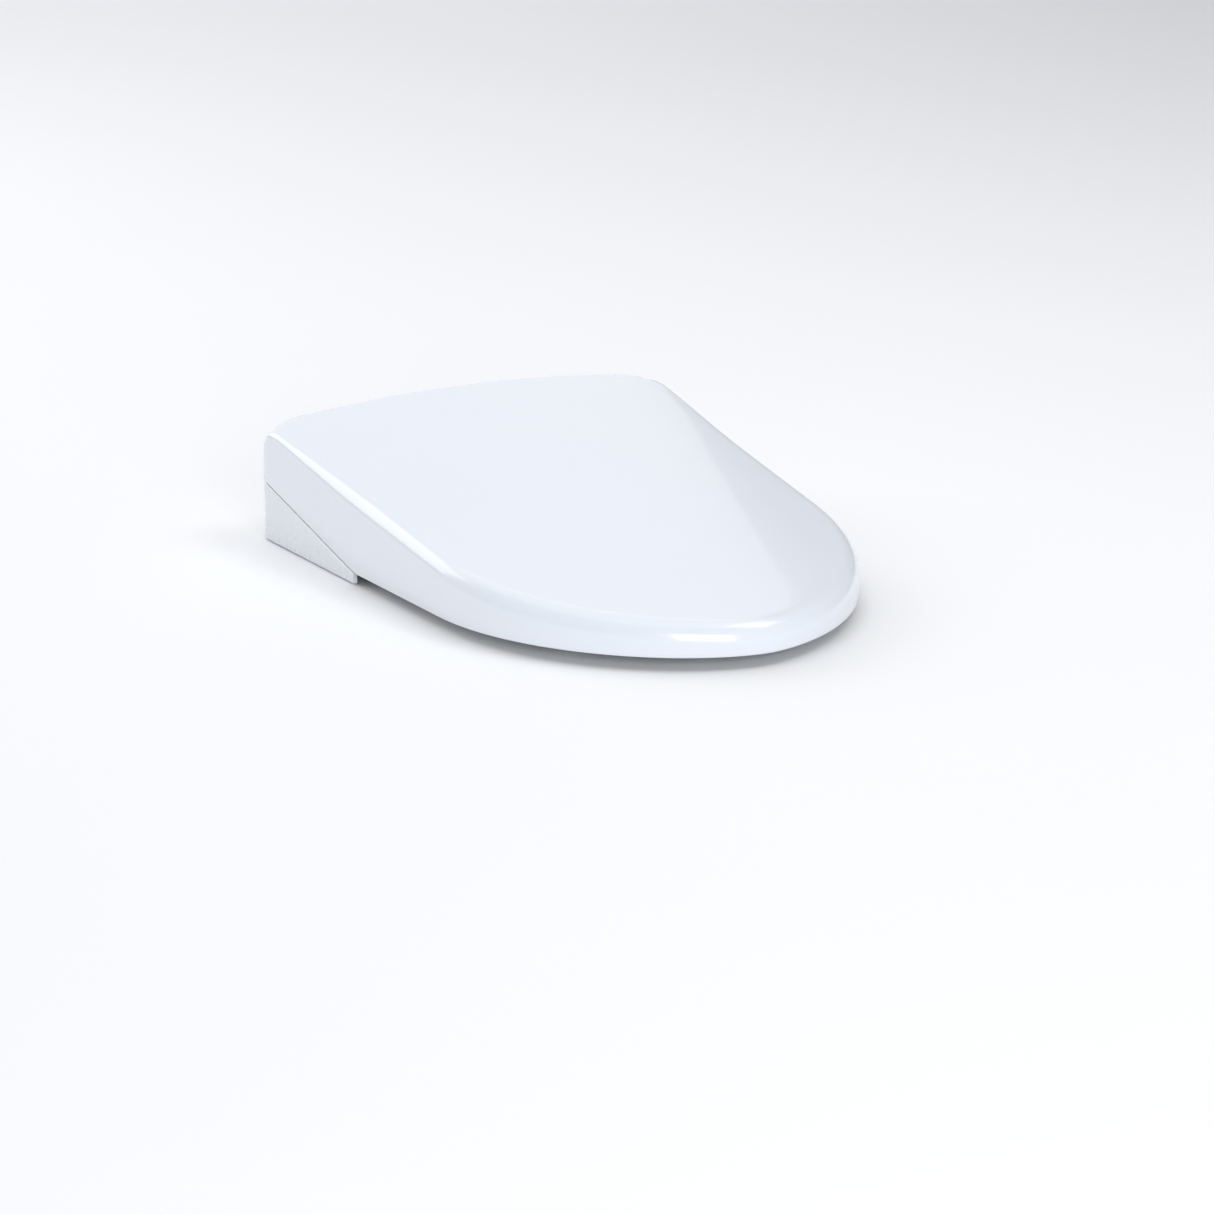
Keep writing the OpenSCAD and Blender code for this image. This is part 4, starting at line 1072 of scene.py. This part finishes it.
def clean(obj: Obj, distance: float = 0.02) -> None:
    """Merges doubles and points the faces outwards.

    Args:
        obj: the object.
        distance: how close two points are merged, in millimetres.
    """
    work = bmesh.new()
    work.from_mesh(obj.data)
    bmesh.ops.remove_doubles(work, verts=work.verts, dist=distance * MM)
    bmesh.ops.recalc_face_normals(work, faces=work.faces)
    work.to_mesh(obj.data)
    work.free()


@dataclass
class RearUnit:
    """The unit behind the seat: side covers, buttons, deck and fittings."""

    form: Form = FORM
    block: float = 146.0
    wall: float = 4.0
    case: float = 2.5
    low: float = 1.0
    apron: float = -75.0
    deck_z: float = 50.0
    hump: float = 13.2
    neck: float = -70.0
    join_x: float = 150.0
    screw_x: float = 133.0
    end_run: float = 3.9
    key_gap: float = 0.3
    cut_from: float = 160.0
    cut_to: float = 200.0
    key_edge: tuple[Flat, ...] = (
        (0.9, 0.0), (0.35, 0.18), (0.08, 0.5), (0.0, 0.9), (0.05, 1.3), (0.35, 2.4))
    spots: dict = field(default_factory=lambda: {
        "power_button": (-48.0, 15.0, 5.0), "wash_button": (-30.0, 18.0, 5.0),
        "release_button": (-6.0, 18.0, 6.5)})

    def side(self, name: str, node: str, sign: int, cutters: Sequence[Obj] = ()) -> Obj:
        """One slanted side cover with its soft upper edge.

        Args:
            name: the piece's name.
            node: the CAD node it stands for.
            sign: 1 for the right side, -1 for the left.
            cutters: what is cut out of it.

        Returns:
            The piece.
        """
        f = self.form
        fine = 8
        out = f.outline(0, f.rear, f.corner, f.bow, fine)
        inn = f.outline(self.wall, f.rear - self.wall, f.corner, f.bow, fine)
        half = len(out) // 2 + 1
        pairs = [(a, b) for a, b in zip(out[:half], inn[:half])
                 if a[1] >= f.tip and (a[1] < f.corner_y - 6 or a[0] >= self.join_x)]
        rows = []
        for (ox, oy), (ix, iy) in pairs:
            top, low = f.wing_z(oy), self.low
            d = oy - f.tip
            if d < self.end_run:
                mid, reach = (top + low) / 2, (top - low) / 2
                k = max(0.12, math.sqrt(max(0.0, 1 - (1 - d / self.end_run) ** 2)))
                top, low = mid + reach * k, mid - reach * k
            tall = top - low
            soft = min(1.0, tall / 5)
            section = [(u, low + h * soft) for u, h in ((0.30, 0.0), (0.08, 0.25), (0.0, 0.9))]
            section += [(0.0, low + 0.9 * soft + (tall - 2.9 * soft) * t) for t in (0.25, 0.5, 0.75, 1.0)]
            upper = ((0.03, 1.3), (0.11, 0.75), (0.24, 0.35), (0.42, 0.1), (0.62, 0.0))
            section += [(u, top - h * soft) for u, h in upper]
            section += [(1.0, top), (1.0, low)]
            rows.append([(sign * (ox + (ix - ox) * u), oy + (iy - oy) * u, z) for u, z in section])
        points, faces = band(rows)
        n = len(rows[0])
        faces.append(tuple(range(n)))
        faces.append(tuple(reversed(range((len(rows) - 1) * n, len(rows) * n))))
        made = solid(name, points, faces, 40.0)
        clean(made, 0.005)
        cut(made, cutters)
        smooth(made, 38.0)
        return dress(made, Slot.CASE, "base", [node])

    def right_cutters(self) -> list[Obj]:
        """Holes for the buttons and the filter cartridge."""
        out = []
        for y, z, r in self.spots.values():
            wide, deep = r + self.key_gap, self.cut_to - self.cut_from
            out.append(disc("hole", (self.cut_from, y, z), [(0.0, wide), (deep, wide)]))
        out.append(block("hole", (self.cut_from, 13.6, 10.6), (self.cut_to, 48.4, 35.4)))
        return out

    def buttons(self) -> None:
        """Push buttons with a dished face and a soft edge."""
        bodies = {"power_button": "power_key", "wash_button": "wash_key", "release_button": "release_key"}
        for node, (y, z, r) in self.spots.items():
            lo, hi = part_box(node)
            x0, x1 = lo[0] / MM, hi[0] / MM
            profile = [(0.0, r)] + [(x1 - x0 - back, r - inward) for back, inward in self.key_edge]
            made = disc(node + "_cap", (x0, y, z), profile + [(x1 - x0 - 0.5, 0.6)])
            dress(made, Slot.BUTTON, bodies[node], [node])

    def deck_profile(self, drop: float, y1: float, steps: int) -> list[Flat]:
        """The deck's outline in the side view, front to back.

        Args:
            drop: depth below the outside.
            y1: where it ends at the rear.
            steps: points on the round housing.

        Returns:
            (y, z) points.
        """
        f = self.form
        r, q = self.hump - drop, f.sweep + f.gap + drop
        y0 = self.apron + drop
        dy, dz = f.hinge_y - y0, f.hinge_z - (self.deck_z - drop)
        rise = math.atan2(dz, dy) + math.asin(r / math.hypot(dy, dz))
        end = -math.acos(min(1.0, (y1 - f.hinge_y) / q))
        neck = math.radians(self.neck - drop * 2)
        pts = [(y0, self.deck_z - drop)]
        for i in range(steps + 1):
            a = math.pi / 2 + rise + (neck - math.pi / 2 - rise) * i / steps
            pts.append((f.hinge_y + r * math.cos(a), f.hinge_z + r * math.sin(a)))
        for i in range(9):
            a = neck + (end - neck) * i / 8
            pts.append((f.hinge_y + q * math.cos(a), f.hinge_z + q * math.sin(a)))
        return pts

    def deck(self) -> Obj:
        """The deck with its round housing, window slots and soft edges."""
        lo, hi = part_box("deck_cover")
        y1 = hi[1] / MM
        outer = self.deck_profile(0.0, y1, 48)
        inner = self.deck_profile(self.case, y1, 48)
        low = self.deck_z - self.case
        outer = [(outer[0][0], low)] + outer
        inner = [(inner[0][0], low)] + inner[1:]
        ring = outer + list(reversed(inner))
        n = len(ring)
        points = [(x, y, z) for x in (lo[0] / MM, hi[0] / MM) for y, z in ring]
        faces = [(i, (i + 1) % n, n + (i + 1) % n, n + i) for i in range(n)]
        faces += [tuple(reversed(range(n))), tuple(range(n, 2 * n))]
        made = solid("deck", points, faces)
        clean(made, 0.005)
        smooth(made, 35.0)
        bevel(made, 0.9)
        for node in ("sensor_window", "indicator_lens"):
            cut(made, [self.slot_cutter(node)])
        smooth(made, 35.0)
        return dress(made, Slot.CASE, "base", ["deck_cover"])

    def slope(self) -> float:
        """The deck's slope in radians."""
        f = self.form
        dy, dz = f.hinge_y - self.apron, f.hinge_z - self.deck_z
        return math.atan2(dz, dy) + math.asin(self.hump / math.hypot(dy, dz))

    def on_deck(self, x: float, s: float, h: float) -> Point:
        """A point x across, s up the deck and h above it."""
        a = self.slope()
        y = self.apron + s * math.cos(a) - h * math.sin(a)
        return x, y, self.deck_z + s * math.sin(a) + h * math.cos(a)

    def slot_cutter(self, node: str) -> Obj:
        """A cutter for the slot that a window fills."""
        lo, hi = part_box(node)
        x0, x1 = lo[0] / MM + 1.9, hi[0] / MM - 1.9
        corners = [self.on_deck(x, s, h) for h in (-7.0, 3.0) for x, s in
                   ((x0, 24.0), (x1, 24.0), (x1, 38.0), (x0, 38.0))]
        return solid("hole", corners, BOX_FACES)

    def fittings(self) -> None:
        """Screw heads under the unit and slats in the dryer's outlet."""
        rep = cross_screws("case_screw_heads", 3.0, 0.8, PAINT.get(Slot.STEEL))
        places = ((self.apron + 9, 0.6), (54.0, 5.6))
        spots = [(sign * self.screw_x, y, z) for sign in (-1, 1) for y, z in places]
        dress(rep.run("under_screws", spots), Slot.STEEL, "base")
        slats = bars("dryer_slats", (0.9, 5.0, 12.0), PAINT.get(Slot.DARK))
        made = slats.run("dryer_grille", [(64.0 + 3.5 * i, self.apron + 5.0, 17.0) for i in range(1, 8)])
        dress(made, Slot.DARK, "base")

    def build(self) -> None:
        """Makes every piece of the unit."""
        self.side("left_cover", "side_cover_left", -1)
        self.side("right_cover", "side_cover_right", 1, self.right_cutters())
        self.buttons()
        self.deck()
        self.fittings()


# ---------------------------------------------------------------- studio
@dataclass(frozen=True)
class Studio:
    """Camera, floor and soft light."""

    azimuth: float = -29.43
    elevation: float = 15.76
    roll: float = -0.04
    distance: float = 2.9638
    lens: float = 106.75
    aim: Point = (0.0, -0.200, 0.050)
    shift: Flat = (0.0050, -0.0709)
    sensor: float = 36.0
    lit: Point = (0.0, -0.15, 0.05)
    room: float = 0.44
    floor_side: float = 14.0

    def camera(self) -> None:
        """The camera."""
        data = bpy.data.cameras.new("camera")
        data.lens = self.lens
        data.sensor_width = self.sensor
        data.shift_x, data.shift_y = self.shift
        data.clip_start, data.clip_end = 0.05, 60.0
        cam = bpy.data.objects.new("camera", data)
        bpy.context.scene.collection.objects.link(cam)
        a, e = math.radians(self.azimuth), math.radians(self.elevation)
        back = Vector((math.sin(a) * math.cos(e), -math.cos(a) * math.cos(e), math.sin(e)))
        cam.location = Vector(self.aim) + back * self.distance
        turn = (-back).to_track_quat("-Z", "Y").to_matrix()
        cam.rotation_euler = turn.to_euler()
        cam.rotation_euler.rotate_axis("Z", math.radians(self.roll))
        bpy.context.scene.camera = cam

    def softbox(self, name: str, at: Point, size: float, power: float) -> None:
        """One large area light.

        Args:
            name: its name.
            at: its place.
            size: its side in metres.
            power: its power in watts.
        """
        data = bpy.data.lights.new(name, "AREA")
        data.size = size
        data.energy = power
        data.color = (0.97, 0.985, 1.0)
        lamp = bpy.data.objects.new(name, data)
        bpy.context.scene.collection.objects.link(lamp)
        lamp.location = at
        lamp.rotation_euler = (Vector(self.lit) - Vector(at)).to_track_quat("-Z", "Y").to_euler()

    def light(self) -> None:
        """Softboxes and the room."""
        world = bpy.data.worlds.new("room")
        bpy.context.scene.world = world
        world.use_nodes = True
        sky = world.node_tree.nodes["Background"]
        sky.inputs["Color"].default_value = (0.945, 0.96, 1.0, 1.0)
        sky.inputs["Strength"].default_value = self.room
        self.softbox("overhead", (0.0, 0.2, 2.6), 3.0, 19.0)
        self.softbox("key", (1.0, -1.0, 2.2), 1.1, 11.0)
        self.softbox("front", (-0.9, -3.2, 0.9), 1.6, 42.0)
        self.softbox("strip", (-1.7, 2.7, 1.7), 2.2, 36.0)
        self.softbox("backdrop", (0.6, 4.0, 2.2), 5.0, 48.0)

    def floor(self) -> None:
        """A plain pale floor."""
        mesh = bpy.data.meshes.new("floor")
        side = self.floor_side
        corners = [(-side, -side, 0), (side, -side, 0), (side, side, 0), (-side, side, 0)]
        mesh.from_pydata(corners, [], [(0, 1, 2, 3)])
        floor = bpy.data.objects.new("floor", mesh)
        bpy.context.scene.collection.objects.link(floor)
        floor.location.z = -0.0005
        sh = Shader("floor_paper")
        colour = sh.mix(sh.noise(2.0, 2.0), (0.955, 0.955, 0.955), (0.94, 0.94, 0.945))
        mesh.materials.append(sh.close({"Base Color": colour, "Roughness": 0.85}))


def paint_nodes() -> None:
    """Gives every CAD node the finish of its slot."""
    for part in frame["record"]["subparts"]:
        node = frame["nodes"][part["node"]]
        finish = PAINT.get(Slot(part["material_slot"]))
        if not node.material_slots:
            node.data.materials.append(finish)
        for place in node.material_slots:
            place.material = finish
    log.info("%d frame nodes finished", len(frame["nodes"]))


def main() -> None:
    """Builds the scene."""
    bpy.context.scene.view_settings.view_transform = "Standard"
    studio = Studio()
    studio.camera()
    studio.light()
    studio.floor()
    paint_nodes()
    for assembly in (Lid(), SeatRing(), RearUnit()):
        assembly.build()
        log.info("%s built", type(assembly).__name__)


if __name__ == "__main__":
    main()
